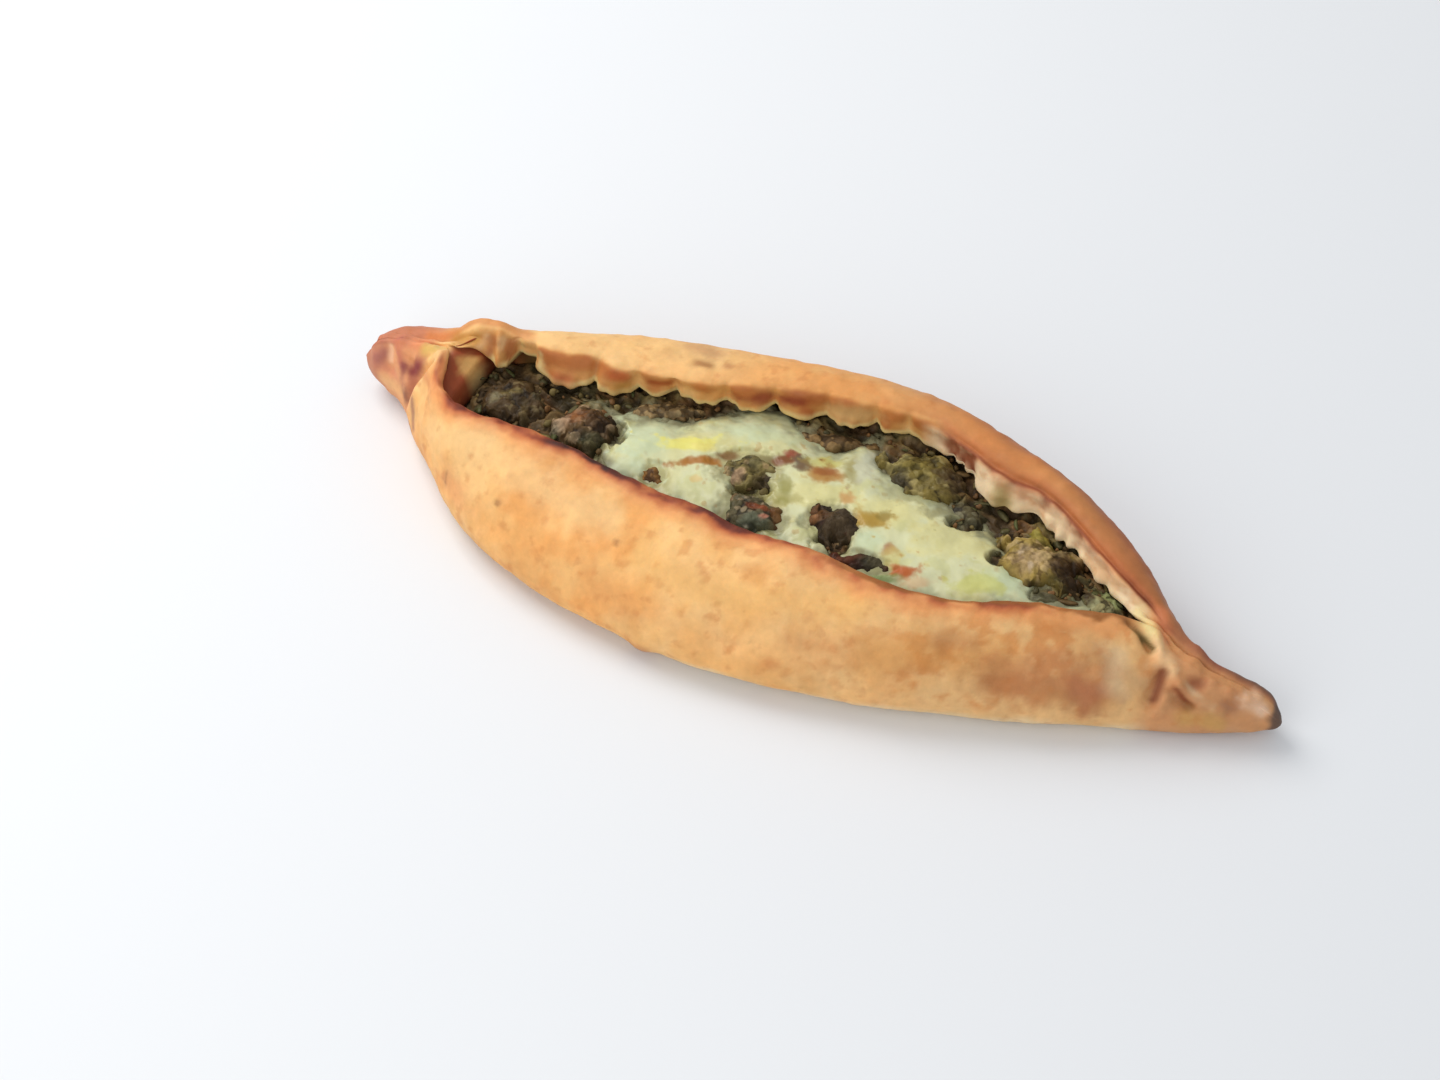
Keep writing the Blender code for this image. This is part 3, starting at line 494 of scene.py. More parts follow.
# The left knob with painted shade in its creases and a painted highlight, the oily groove beside it, and the
# pleat at the left end of the roll with painted highlights on its ridges and painted shade in its dips
LEFT_PATCHES = (
    (((-128.6, -2.5, 25.0), (-130.4, -4.2, 18.6), (-130.7, -6.2, 14.5)), 2.6, tint(168, 98, 72), 0.75),
    (((-126.6, -12.4, 18.2), (-125.2, -14.5, 15.3), (-124, -16.5, 11)), 1.5, tint(150, 100, 84), 0.8),
    (((-131.5, 3.0, 26.4), (-128.6, 2.0, 27.2)), 2.4, tint(196, 122, 74), 0.7),
    (((-146.5, -0.6, 16), (-144.5, 0.4, 18)), 3.4, tint(158, 92, 84), 0.8),
    (((-142.6, -1.4, 13), (-139.5, -2.2, 14)), 2.4, tint(206, 128, 98), 0.6),
    # Painted highlight on the knob.
    (((-142.3, 2.1, 20.5), (-142, 0.4, 16.5)), 1.5, tint(240, 190, 150), 0.8),
    (((-139.9, 3.4, 23.9), (-138.4, -0.2, 23.1), (-137.2, -1.6, 20)), 2.3, tint(184, 104, 80), 0.8),
    # Painted shade in the crease of the knob (this and the next patch).
    (((-135.6, -2.2, 18.6), (-134.4, -3, 14.5)), 1.8, tint(124, 52, 58), 0.85),
    (((-132.1, -3.0, 18.9), (-129.3, -3.4, 23.3)), 2.3, tint(122, 36, 42), 0.9),
    (((-143, -2.7, 9.7), (-137, -4.5, 9.5)), 2.6, tint(238, 184, 124), 0.7),
    # Painted shade along the crease where the knob meets the near flap.
    (((-133.4, -7.2, 11.6), (-130.6, -11.4, 9), (-127, -15.8, 7.5)), 1.9, tint(116, 64, 50), 0.8),
    (((-133.6, 3.4, 24.8), (-131.5, 3.2, 25.6)), 2.3, tint(226, 140, 94), 0.8),
    (((-131.5, 8.4, 24.4), (-123.6, 9.7, 27.1)), 2.4, tint(208, 122, 58), 0.85),
    (((-128.5, 0.6, 27.6), (-124.4, 0.7, 29.4)), 2.3, tint(212, 172, 90), 0.85),
    (((-122.6, 8.6, 27.4), (-115.5, 8.8, 30)), 2.4, tint(196, 140, 60), 0.85),
    (((-122.5, -9.8, 28.6), (-117.3, -14.1, 30.7)), 2.6, tint(214, 128, 74), 0.6),
    # Painted highlights on the pleat's ridges and painted shade in its dips (these five patches).
    (((-113.6, 6.8, 28.2), (-112.4, 9.8, 31)), 1.2, tint(232, 186, 132), 0.8),
    (((-110.6, 7.8, 27), (-109.6, 10, 31)), 1.5, tint(172, 102, 56), 0.85),
    (((-107.4, 9, 28.6), (-106.9, 10.6, 32)), 1.2, tint(238, 192, 136), 0.8),
    (((-104.6, 10.2, 27.6), (-103.6, 12.2, 31.4)), 1.4, tint(176, 108, 58), 0.85),
    (((-101.8, 12, 28), (-101.2, 13.4, 31)), 1.0, tint(216, 194, 124), 0.75),
    (((-94.5, 11, 31.2), (-93.9, 9.8, 26.4)), 1.3, tint(230, 204, 140), 0.85),
)
# The oily slit between the folds of the right tail
SLIT = ((102.7, -1.7, 27.6), (105.2, -2.2, 25.9), (108.2, -3.3, 24.4), (111.5, -4.4, 23.4))
# The pinches of the right tail
TAIL_PATCHES = (
    (((109.7, 7.2, 26), (113.8, -0.6, 24.5)), 2.4, tint(214, 130, 84), 0.8),
    (((103.5, 3.6, 27.2), (108.9, -0.4, 27), (112.2, -3.6, 24.8)), 2.0, tint(244, 220, 152), 0.95),
    (((112.2, -3.6, 24.8), (118.6, -6.6, 21.3)), 2.6, tint(238, 194, 142), 0.9),
    (SLIT, 1.3, tint(98, 76, 18), 0.95),
    (((109, -13.4, 19.6), (112, -13.4, 18.2)), 2.8, tint(208, 168, 118), 0.7),
    (((100.6, -21.9, 16), (97, -22, 17)), 4.0, tint(186, 116, 76), 0.7),
    (((116.2, -7.5, 19.1), (116.5, -10.5, 16), (116.6, -13.3, 13.2)), 1.5, tint(134, 68, 38), 0.9),
    (((121.8, -8.8, 16.8), (124.4, -9.6, 13.8), (126.4, -9.5, 11.7)), 1.6, tint(128, 60, 30), 0.95),
    (((120.2, -11, 14), (118.6, -14.5, 10)), 1.2, tint(236, 186, 132), 0.6),
    (((122.6, -7, 17.6), (127.5, -8, 15), (132, -7.4, 13)), 1.1, CREAM, 0.7),
    (((124, -5.6, 17.4), (126.6, -5.6, 17.2)), 2.0, tint(152, 82, 50), 0.75),
    (((135.2, -5.9, 13.3), (137.6, -5.6, 13)), 1.8, tint(172, 118, 84), 0.75),
    (((122.6, 3.6, 20.4), (130, 3, 18)), 1.8, tint(140, 76, 60), 0.6),
    (((141.5, -2, 14), (145.4, -2.7, 13)), 2.4, tint(236, 200, 168), 0.85),
    (((126, -12, 8.6), (130.3, -10.8, 9), (135, -9.4, 8)), 2.8, tint(206, 158, 88), 0.75),
)


def fine_relief(grid, place):
    """Small unevenness of the crust: its rim, the creases and ruffles of the lip, and broad soft dents."""
    x = grid[..., 0]
    offset = 0.28 * cloud(grid, 16, 7, 3) + 0.07 * cloud(grid, 3.2, 8, 3)
    face = ease(place, 16.3, 17.2) * (1 - ease(place, 18.7, 19.6))
    for notch in SCALLOP_NOTCHES:
        offset -= 0.7 * face * np.exp(-(((x - notch) / 1.2) ** 2))
    edge = ease(place, 15.8, 16.6) * (1 - ease(place, 17.2, 18.2))
    left_lobes = ease(x, -100, -94) * (1 - ease(x, 20, 28))
    offset += 0.38 * edge * left_lobes * np.sin(x / 0.85 + 2.2 * np.sin(x / 6))
    right_lip = ease(x, 22, 30) * (1 - ease(x, 98, 106))
    ruffle = np.sin(2 * np.pi * (x + 2.4 * np.sin(x / 6.1) + 1.1 * np.sin(x / 2.9)) / 6.3)
    offset += right_lip * (ruffle * (0.55 * edge + 0.12 * face) + 0.4 * face * cloud(grid, 6, 12, 3))
    crease = np.exp(-(((place - 19.05) / 0.2) ** 2)) * ease(x, 24, 40) * (1 - ease(x, 104, 114))
    offset -= 1.2 * crease
    offset -= 1.1 * np.exp(-((distance_to(grid, SLIT) / 1.1) ** 2))
    rim = np.exp(-(((place - 6.2) / 0.7) ** 2)) * ease(x, -122, -112) * (1 - ease(x, 98, 108))
    offset += rim * (0.5 * cloud(grid, 9, 10, 3))
    return offset


def bubbles(grid, count, seed):
    """Low round bubbles of the baked surface, as a height."""
    random = np.random.default_rng(seed)
    flat = grid.reshape(-1, 3)
    centres = flat[random.integers(0, len(flat), count)]
    radii = random.uniform(0.8, 2.6, count)
    height = np.zeros(len(flat))
    for centre, radius in zip(centres, radii):
        near = np.abs(flat[:, 0] - centre[0]) < 2 * radius
        away = np.linalg.norm(flat[near] - centre, axis=-1) / radius
        height[near] += 0.13 * radius * np.exp(-(away**2)) * random.choice((1, 1, -0.7))
    return height.reshape(grid.shape[:2])


def crust_surface(stations):
    """The crust as rings of points, with the place of each point round its section, from 0 to 25."""
    rings = closed_spline(dough_section(stations), CRUST_SPANS)
    rings[..., 1] = np.maximum(rings[..., 1], 0)
    height = np.maximum(near_rim_z(stations), roll_z(stations))[:, None]
    lift = tip_lift(stations)[:, None]
    rings[..., 1] = lift + rings[..., 1] * (1 - lift / height)
    middle_y = (far_reach(stations) - near_reach(stations)) / 2
    middle_z = np.minimum(near_rim_z(stations), roll_z(stations)) * 0.45
    middle = np.stack([middle_y, middle_z], -1)[:, None]
    rings = middle + (rings - middle) * tip_fullness(stations)[:, None, None]
    along = np.broadcast_to(stations[:, None, None], rings.shape[:2] + (1,))
    grid = np.concatenate([along, rings], -1)

    place = np.concatenate([k + np.arange(n) / n for k, n in enumerate(CRUST_SPANS)])
    place = np.broadcast_to(place, grid.shape[:2])
    outer = 1 - ease(place, 8, 9) * (1 - ease(place, 15, 16)) * opening(grid[..., 0])
    offset = UNEVENNESS * ripples(grid, 3, 34)
    for path, half_width, height in KNOB_FOLDS + PLEAT_FOLDS + TAIL_FOLDS + BLISTERS:
        offset += height * np.exp(-((distance_to(grid, path) / half_width) ** 2))
    offset += fine_relief(grid, place) + bubbles(grid, 900, 14)
    off_the_table = ease(grid[..., 2], 0.5, 4)
    return grid + outward(grid) * (offset * off_the_table * outer)[..., None], place


def rim_distance(grid):
    """How far each point lies from the upper edge of the near rim."""
    x, y, z = np.moveaxis(grid, -1, 0)
    return np.hypot(y - near_rim_y(x) + 0.2, z - near_rim_z(x))


def lip_distance(grid):
    """How far each point lies from the edge of the far lip."""
    x, y, z = np.moveaxis(grid, -1, 0)
    return np.hypot(y - lip_line(x) - scallop(x), z - lip_z(x) - 0.4 * scallop(x) - 0.6)


def paint_wall(color, grid, place):
    """The near wall: gold, creamier and browner to the right, and pale at its foot there."""
    x, _, z = np.moveaxis(grid, -1, 0)
    near = 1 - ease(place, 6, 6.5)
    right = ease(x + 9 * cloud(grid, 18, 31, 2), -10, 70)
    color = over(color, tint(228, 182, 124), 0.65 * right * near)
    color = over(color, TOAST, 0.5 * right * near * ease(cloud(grid, 12, 32), 0.35, 1.0) * ease(z, 8, 14))
    mottled = ease(cloud(grid, 4.5, 47, 3), 0.1, 1.0) * ease(z, 7, 12)
    color = over(color, tint(204, 122, 52), 0.6 * right * near * mottled)
    foot = 1 - ease(z + 1.5 * cloud(grid, 9, 33, 2), 3.5, 8)
    color = over(color, CREAM, 0.8 * near * foot * ease(x, -45, 0))
    return over(color, tint(214, 150, 88), 0.6 * (1 - ease(z, 0.3, 2)) * (1 - ease(x, -30, 10)))


def paint_rim(color, grid, place):
    """The near rim: browned and then charred towards its edge."""
    x = grid[..., 0]
    char = rim_char(x) + 0.3 * cloud(grid, 7, 34, 3)
    along = ease(x, -122, -117) * (1 - ease(x, 99, 108)) * (1 - ease(place, 9, 10))
    away = rim_distance(grid) + 1.0 * cloud(grid, 6, 35, 3)
    color = over(color, tint(230, 158, 96), 0.85 * along * (1 - ease(away, 4.0, 9.5)))
    color = over(color, tint(196, 110, 62), along * (1 - ease(away, 2.4, 5.6)) * ease(char, -0.1, 0.6))
    color = over(color, tint(152, 70, 40), along * (1 - ease(away, 1.4, 3.2)) * ease(char, 0.1, 0.7))
    color = over(color, DARK, along * (1 - ease(away, 0.9, 2.6)) * ease(char, 0.4, 1.0))
    color = over(color, CHAR, along * (1 - ease(away, 0.8, 3.4)) * ease(char, 0.95, 1.3))
    return over(color, tint(148, 88, 34), 0.85 * along * ease(x, 8, 34) * (1 - ease(away, 0.9, 2.3)))


def paint_hollow(color, grid, place):
    """The inside: plain baked dough, the red-brown left end with its pale lobe, a painted highlight on the
    lobe's edge, and painted shade in the gap under the pleat and low in the left end.
    """
    x, y, z = np.moveaxis(grid, -1, 0)
    inside = ease(place, 8.3, 8.9) * (1 - ease(place, 15.8, 16.3))
    inside = inside * ease(x, -122, -118) * (1 - ease(x, 100, 108))
    color = over(color, tint(176, 106, 56), 0.95 * inside)
    # Painted shade: a dark olive in the gap between the first lobes of the lip, under the pleat.
    shade_under_pleat = np.exp(-(((x + 99.8) / 4.5) ** 4)) * (place > 12) * (1 - ease(place, 16.8, 17.4))
    color = over(color, tint(96, 74, 24), 0.85 * shade_under_pleat)
    end = inside * (1 - ease(x, -108, -105))
    color = over(color, tint(158, 76, 40), end)
    lobe = np.hypot((x + 113.6) / 3.6, (y - 1.2) / 4.6) + 0.2 * cloud(grid, 4, 36, 3)
    color = over(color, tint(214, 164, 96), end * (1 - ease(lobe, 0.6, 1.15)))
    # Painted highlight along the edge of the pale lobe.
    lit_edge = np.exp(-(((x + 110.6) / 0.9) ** 2)) * (1 - ease(np.abs(y - 1), 4, 6))
    color = over(color, tint(232, 206, 140), 0.9 * end * lit_edge)
    # Painted shade: the left end darkens towards the bottom of the hollow.
    return over(color, DARK, 0.8 * end * (1 - ease(z, 17, 23)))


def paint_roll(color, grid, place):
    """The far roll: its browned inner face, pale scalloped edge, painted shade along its crease, and a right
    side darker from browning and from painted shade.
    """
    x = grid[..., 0]
    left = 1 - ease(x, 20, 30)
    past_ridge = grid[..., 1] - ridge_y(x) + 0.4 * cloud(grid, 6, 45, 2)
    face = ease(place, 16.7, 17.2) * (1 - ease(past_ridge, -0.9, 0.9)) * (place < 21)
    color = over(color, tint(208, 146, 78), 0.95 * face * left * ease(x, -118, -112))
    upper = ease(place, 17.8, 18.4) * face
    color = over(color, tint(190, 108, 52), 0.8 * upper * left * ease(x, -100, -94))
    streak = ease(cloud(grid, 9, 37), 0.2, 0.9)
    color = over(color, tint(178, 96, 46), 0.6 * face * left * streak)
    edge = 1 - ease(lip_distance(grid) + 0.3 * cloud(grid, 5, 38, 2), 0.9, 2.6)
    color = over(color, tint(232, 202, 134), 0.95 * edge * left * ease(x, -113, -109))

    lip = ease(place, 16, 16.3) * (1 - ease(place, 18.5, 19.0))
    right_lip = lip * ease(x, 20, 28) * (1 - ease(x, 102, 110))
    color = over(color, LIP_CREAM, 0.95 * right_lip)
    stain = np.exp(-((((x - 52.5) / 4.0) ** 2 + ((grid[..., 1] - 25) / 3.0) ** 2) ** 1.5))
    color = over(color, tint(156, 132, 62), 0.8 * right_lip * stain)
    blush = ease(cloud(grid, 7, 39), 0.0, 0.8) * ease(place, 16.9, 17.6)
    color = over(color, tint(222, 170, 116), 0.6 * right_lip * blush)
    fold = ease(place, 17.6, 18.2) * (1 - ease(place, 18.9, 19.1)) * ease(x, 20, 28) * (1 - ease(x, 88, 98))
    color = over(color, tint(196, 122, 74), 0.55 * fold * ease(cloud(grid, 11, 30), -0.3, 0.5))

    top = ease(past_ridge, -0.3, 1.5) * ease(place, 18.6, 19) * (1 - ease(place, 23, 24))
    color = over(color, tint(240, 196, 132), 0.6 * top * (1 - ease(x, -60, -10)))
    over_pleat = 1 - ease(x + 3 * cloud(grid, 8, 46, 2), -106, -96)
    color = over(color, tint(206, 128, 66), 0.75 * top * over_pleat)
    color = over(color, tint(196, 122, 66), 0.85 * top * ease(x, -35, 45))
    # Partly browning and partly painted shade: the top of the roll darkens towards the right.
    color = over(color, tint(158, 94, 56), 0.6 * top * ease(x, 66, 100))
    outer = ease(place, 20.0, 20.9) * (1 - ease(place, 22.5, 23.5))
    color = over(color, tint(158, 86, 50), 0.85 * outer * ease(x, 0, 70))
    color = over(color, tint(192, 124, 76), 0.6 * ease(place, 20.6, 21.4) * (1 - ease(place, 22, 23)))
    # Painted shade along the crease where the roll turns down into its inner face, darkest at the crease and
    # towards the right end.
    along = ease(x, 22, 34) * (1 - ease(x, 118, 126)) * (place > 17.4) * (place < 21)
    color = over(color, tint(180, 98, 54), 0.7 * along * np.exp(-(((past_ridge - 0.6) / 2.0) ** 2)))
    color = over(color, tint(138, 66, 34), 0.9 * along * np.exp(-((past_ridge / 0.75) ** 2)))
    crease_shade_end = ease(x, 92, 102) * np.exp(-((past_ridge / 0.9) ** 2))
    return over(color, tint(120, 50, 30), 0.6 * along * crease_shade_end)


def paint_ends(color, grid, place):
    """The rosy knob at the left and the browned, scorched tail at the right."""
    x, y, _ = np.moveaxis(grid, -1, 0)
    color = over(color, tint(214, 142, 100), 0.8 * (1 - ease(x, -131, -125)))
    color = over(color, tint(176, 104, 84), 0.6 * (1 - ease(x, -150, -140)))
    topside = ease(place, 5.0, 5.8) * (1 - ease(place, 21, 22))
    color = over(color, tint(180, 106, 78), 0.75 * topside * (1 - ease(x, -138, -126)))
    tail = ease(x, 110, 119)
    color = over(color, tint(196, 134, 88), 0.8 * tail)
    far_side = ease(place, 18, 20) * (1 - ease(place, 23.5, 24.5))
    color = over(color, tint(158, 94, 64), 0.7 * tail * far_side)
    scorched = ease(x, 122, 142) * ease(place, 18.8, 20.4) * (1 - ease(place, 23, 24))
    color = over(color, ASH, 0.8 * scorched)
    return over(color, ASH, 0.9 * ease(x + 0.5 * cloud(grid, 3, 40, 2), 146.5, 148.8))


def crust_paint(grid, place):
    """The crust's colour at each point."""
    blotch, small = cloud(grid, 24, 21), cloud(grid, 7, 22)
    color = over(np.broadcast_to(GOLD, grid.shape), ORANGE, 0.65 * ease(blotch + 0.4 * small, 0.0, 0.9))
    color = over(color, PALE_GOLD, 0.5 * ease(-blotch - 0.3 * small, 0.0, 0.8))
    color = over(color, TOAST, 0.45 * ease(cloud(grid, 3.4, 23, 2), 0.6, 1.2))
    color = paint_wall(color, grid, place)
    color = paint_roll(color, grid, place)
    color = paint_ends(color, grid, place)
    ragged = 1 + 0.3 * cloud(grid, 4.5, 24, 4)
    for path, half_width, shade, strength in WALL_PATCHES + ROLL_PATCHES + LEFT_PATCHES + TAIL_PATCHES:
        away = distance_to(grid, path) / half_width * ragged
        color = over(color, shade, strength * np.exp(-(away**2.4)))
    color = paint_hollow(color, grid, place)
    return paint_rim(color, grid, place)


def pebbles(x, y, count, smallest, largest, seed):
    """The height of a layer of small round lumps over places x, y, and a random value of each lump."""
    random = np.random.default_rng(seed)
    order = np.argsort(x.ravel())
    sorted_x, sorted_y = x.ravel()[order], y.ravel()[order]
    height, owner = np.full(x.size, -0.2), np.zeros(x.size)
    for _ in range(count):
        centre_x, centre_y = random.uniform(x.min(), x.max()), random.uniform(y.min(), y.max())
        radius = random.uniform(smallest, largest)
        stretch, turn, value = random.uniform(0.6, 1.0), random.uniform(0, np.pi), random.uniform()
        rows = slice(*np.searchsorted(sorted_x, (centre_x - radius, centre_x + radius)))
        dx, dy = sorted_x[rows] - centre_x, sorted_y[rows] - centre_y
        along = dx * np.cos(turn) + dy * np.sin(turn)
        across = (dy * np.cos(turn) - dx * np.sin(turn)) / stretch
        round_top = radius * 0.6 * np.sqrt(np.maximum(1 - (along**2 + across**2) / radius**2, 0)) - 0.2
        higher = round_top > height[order[rows]]
        height[order[rows]] = np.where(higher, round_top, height[order[rows]])
        owner[order[rows]] = np.where(higher, value, owner[order[rows]])
    return height.reshape(x.shape), owner.reshape(x.shape)


def oval_share(x, y, middle_x, middle_y, half_length, half_width, turn):
    """How far out a point is from the middle of an oval: 1 at its edge."""
    turn = math.radians(turn)
    along = (x - middle_x) * math.cos(turn) + (y - middle_y) * math.sin(turn)
    across = (y - middle_y) * math.cos(turn) - (x - middle_x) * math.sin(turn)
    return np.hypot(along / half_length, across / half_width)


def paint_spots(color, x, y, spots, ragged):
    """Patches painted on a surface: place, half sizes, turn in degrees, colour and strength."""
    for spot_x, spot_y, half_length, half_width, turn, shade, strength in spots:
        away = oval_share(x, y, spot_x, spot_y, half_length, half_width, turn) * ragged
        color = over(color, shade, strength * np.exp(-(away**5)))
    return color


# Where the thinnest melt of the cheese ends, beyond the solid's own edge
VEIL_REACH = 4.5
# How thick the melt is at its middle, and how far in from its edge it grows to that
MELT_DEPTH, MELT_RISE = 3.6, 7.0


CLUMPS_IN_CHEESE = ("upper_clump", "lower_clump", "button_clump", "flat_flake", "small_bit", "round_clump")

# Places where the greens show through the cheese: place, half sizes and turn in degrees
BARE_PLACES = (
    (-14.5, -4.5, 6.0, 4.0, 27),
    (15.5, -11.0, 5.4, 3.6, 27),
    (-61.5, -2.5, 4.5, 5.0, 27),
    (46.0, 13.0, 4.5, 2.6, 27),
    (18.0, -13.5, 4.2, 2.8, 27),
    (78.5, -1.5, 7.3, 2.4, 27),
    (60.5, 5.0, 2.7, 2.4, 27),
)


def cheese_depth(x, y):
    """The thickness of the melted cheese, below zero where the filling shows."""
    flat = np.stack([x, y, 0 * x], -1)
    tongue = 5.0 * np.exp(-(((x - 8) / 5) ** 2))
    inward = np.minimum(y - cheese_near(x), cheese_far(x) + tongue - y)
    inward = np.minimum(inward, np.minimum(x - CHEESE_LEFT, CHEESE_RIGHT - x) * 0.8)
    ragged = inward + VEIL_REACH + 3.2 * cloud(flat, 13, 41, 4)
    depth = MELT_DEPTH * (1 - np.exp(-np.maximum(ragged, -5) / MELT_RISE)) - 0.6
    depth = depth + 0.16 * cloud(flat, 8, 43, 3)
    uneven = 0.2 * cloud(flat, 4, 44, 3)
    for name in CLUMPS_IN_CHEESE:
        depth = depth - 1.0 * (1 - ease(oval_share(x, y, *CLUMPS[name][:5]) + uneven, 0.9, 1.4))
    for oval in BARE_PLACES:
        depth = depth - 3.4 * (1 - ease(oval_share(x, y, *oval) + 1.5 * uneven, 0.5, 1.3))
    return depth


# The greens' colours, and a dark brown painted shade for the hollows between their lumps
PAINTED_SHADE = tint(52, 40, 28)
WILTED = tint(104, 82, 50)
OLIVE = tint(122, 106, 64)
SPINACH = tint(88, 82, 52)
MINCE = tint(128, 92, 56)
GRAIN = tint(158, 134, 98)
VEIL = tint(132, 130, 100)

# Patches of the greens: place, half sizes, turn in degrees, colour and strength
GREENS_SPOTS = (
    (-65.5, -10.0, 5.0, 3.2, 27, tint(74, 76, 50), 0.7),
    (-58.0, 12.0, 7.0, 3.0, 27, tint(86, 78, 54), 0.6),
    (-26.0, 3.5, 4.0, 2.2, 27, tint(104, 88, 52), 0.8),
    (11.0, 24.5, 3.0, 4.0, 27, tint(120, 122, 98), 0.6),
    (2.5, 25.5, 2.6, 1.8, 27, tint(130, 82, 64), 0.7),
    (41.5, 17.5, 5.0, 4.0, 27, tint(112, 108, 86), 0.6),
    (22.0, 18.0, 5.0, 3.4, 27, tint(76, 68, 50), 0.7),
    (73.5, -3.5, 9.0, 2.4, 7, tint(66, 68, 52), 0.8),
    (94.5, 7.0, 4.4, 2.8, 0, tint(148, 156, 102), 0.9),
    (88.0, 1.0, 4.0, 2.6, 0, tint(98, 108, 78), 0.7),
)

GREENS_LEFT, GREENS_RIGHT = -109.5, 106.0
GREENS_STATIONS, GREENS_ACROSS = 460, 170


def greens_surface():
    """The filling as rings of points, with a colour for each point."""
    stations = np.linspace(GREENS_LEFT, GREENS_RIGHT, GREENS_STATIONS)
    near, far = bed_edges(stations)
    share = np.linspace(0, 1, GREENS_ACROSS)
    x = np.repeat(stations[:, None], GREENS_ACROSS, 1)
    y = mix(near[:, None] - 0.8, far[:, None] + 0.8, share)
    flat = np.stack([x, y, 0 * x], -1)
    depth = cheese_depth(x, y)
    bare = 1 - ease(depth, -0.9, 0.9)
    wrinkles = 1 - 1.4 * np.abs(cloud(flat, 5, 51, 3))
    crumbs, crumb_kind = pebbles(x, y, 3600, 0.6, 1.9, 52)
    relief = 1.3 * cloud(flat, 9, 53, 3) + 1.0 * wrinkles + 0.4 * crumbs + 0.2 * cloud(flat, 1.9, 54, 2)
    under_rim = ease(share, 0, 0.03) * (1 - ease(share, 0.97, 1))
    top = level(x, y) - 1.0 + relief * (0.12 + 0.88 * bare) * under_rim

    kind = cloud(flat, 11, 55, 4)
    color = over(np.broadcast_to(WILTED, flat.shape), SPINACH, 0.8 * ease(kind, 0.0, 0.6))
    color = over(color, MINCE, 0.8 * ease(cloud(flat, 9, 56, 3), 0.15, 0.8))
    # Painted highlight: the raised places of the relief are lightened to olive.
    color = over(color, OLIVE, 0.9 * ease(relief + 0.5 * cloud(flat, 6, 57, 3), 0.9, 2.4))
    color = over(color, GRAIN, 0.35 * (crumb_kind > 0.85) * ease(crumbs, 0.1, 0.6))
    # Painted shade: the low places of the relief are darkened towards dark brown.
    color = over(color, PAINTED_SHADE, 0.7 * (1 - ease(relief, -0.3, 1.1)))
    color = paint_spots(color, x, y, GREENS_SPOTS, 1 + 0.3 * cloud(flat, 4, 59, 3))
    color = over(color, VEIL, 0.85 * ease(depth + 0.7 * cloud(flat, 4, 58, 3), -3.0, 0.1))

    grid = np.stack([x, y, top], -1)
    low_near = np.stack([stations, near + 1.0, grid[:, 0, 2] - 3], -1)[:, None]
    low_far = np.stack([stations, far - 1.0, grid[:, -1, 2] - 3], -1)[:, None]
    rings = np.concatenate([low_near, low_far, grid[:, ::-1]], 1)
    dark = np.broadcast_to(PAINTED_SHADE, (GREENS_STATIONS, 2, 3))
    return rings, np.concatenate([dark, color[:, ::-1]], 1)


# The cheese's colours
MILK = tint(210, 210, 166)
BUTTER = tint(214, 206, 142)
MINT = tint(198, 210, 172)

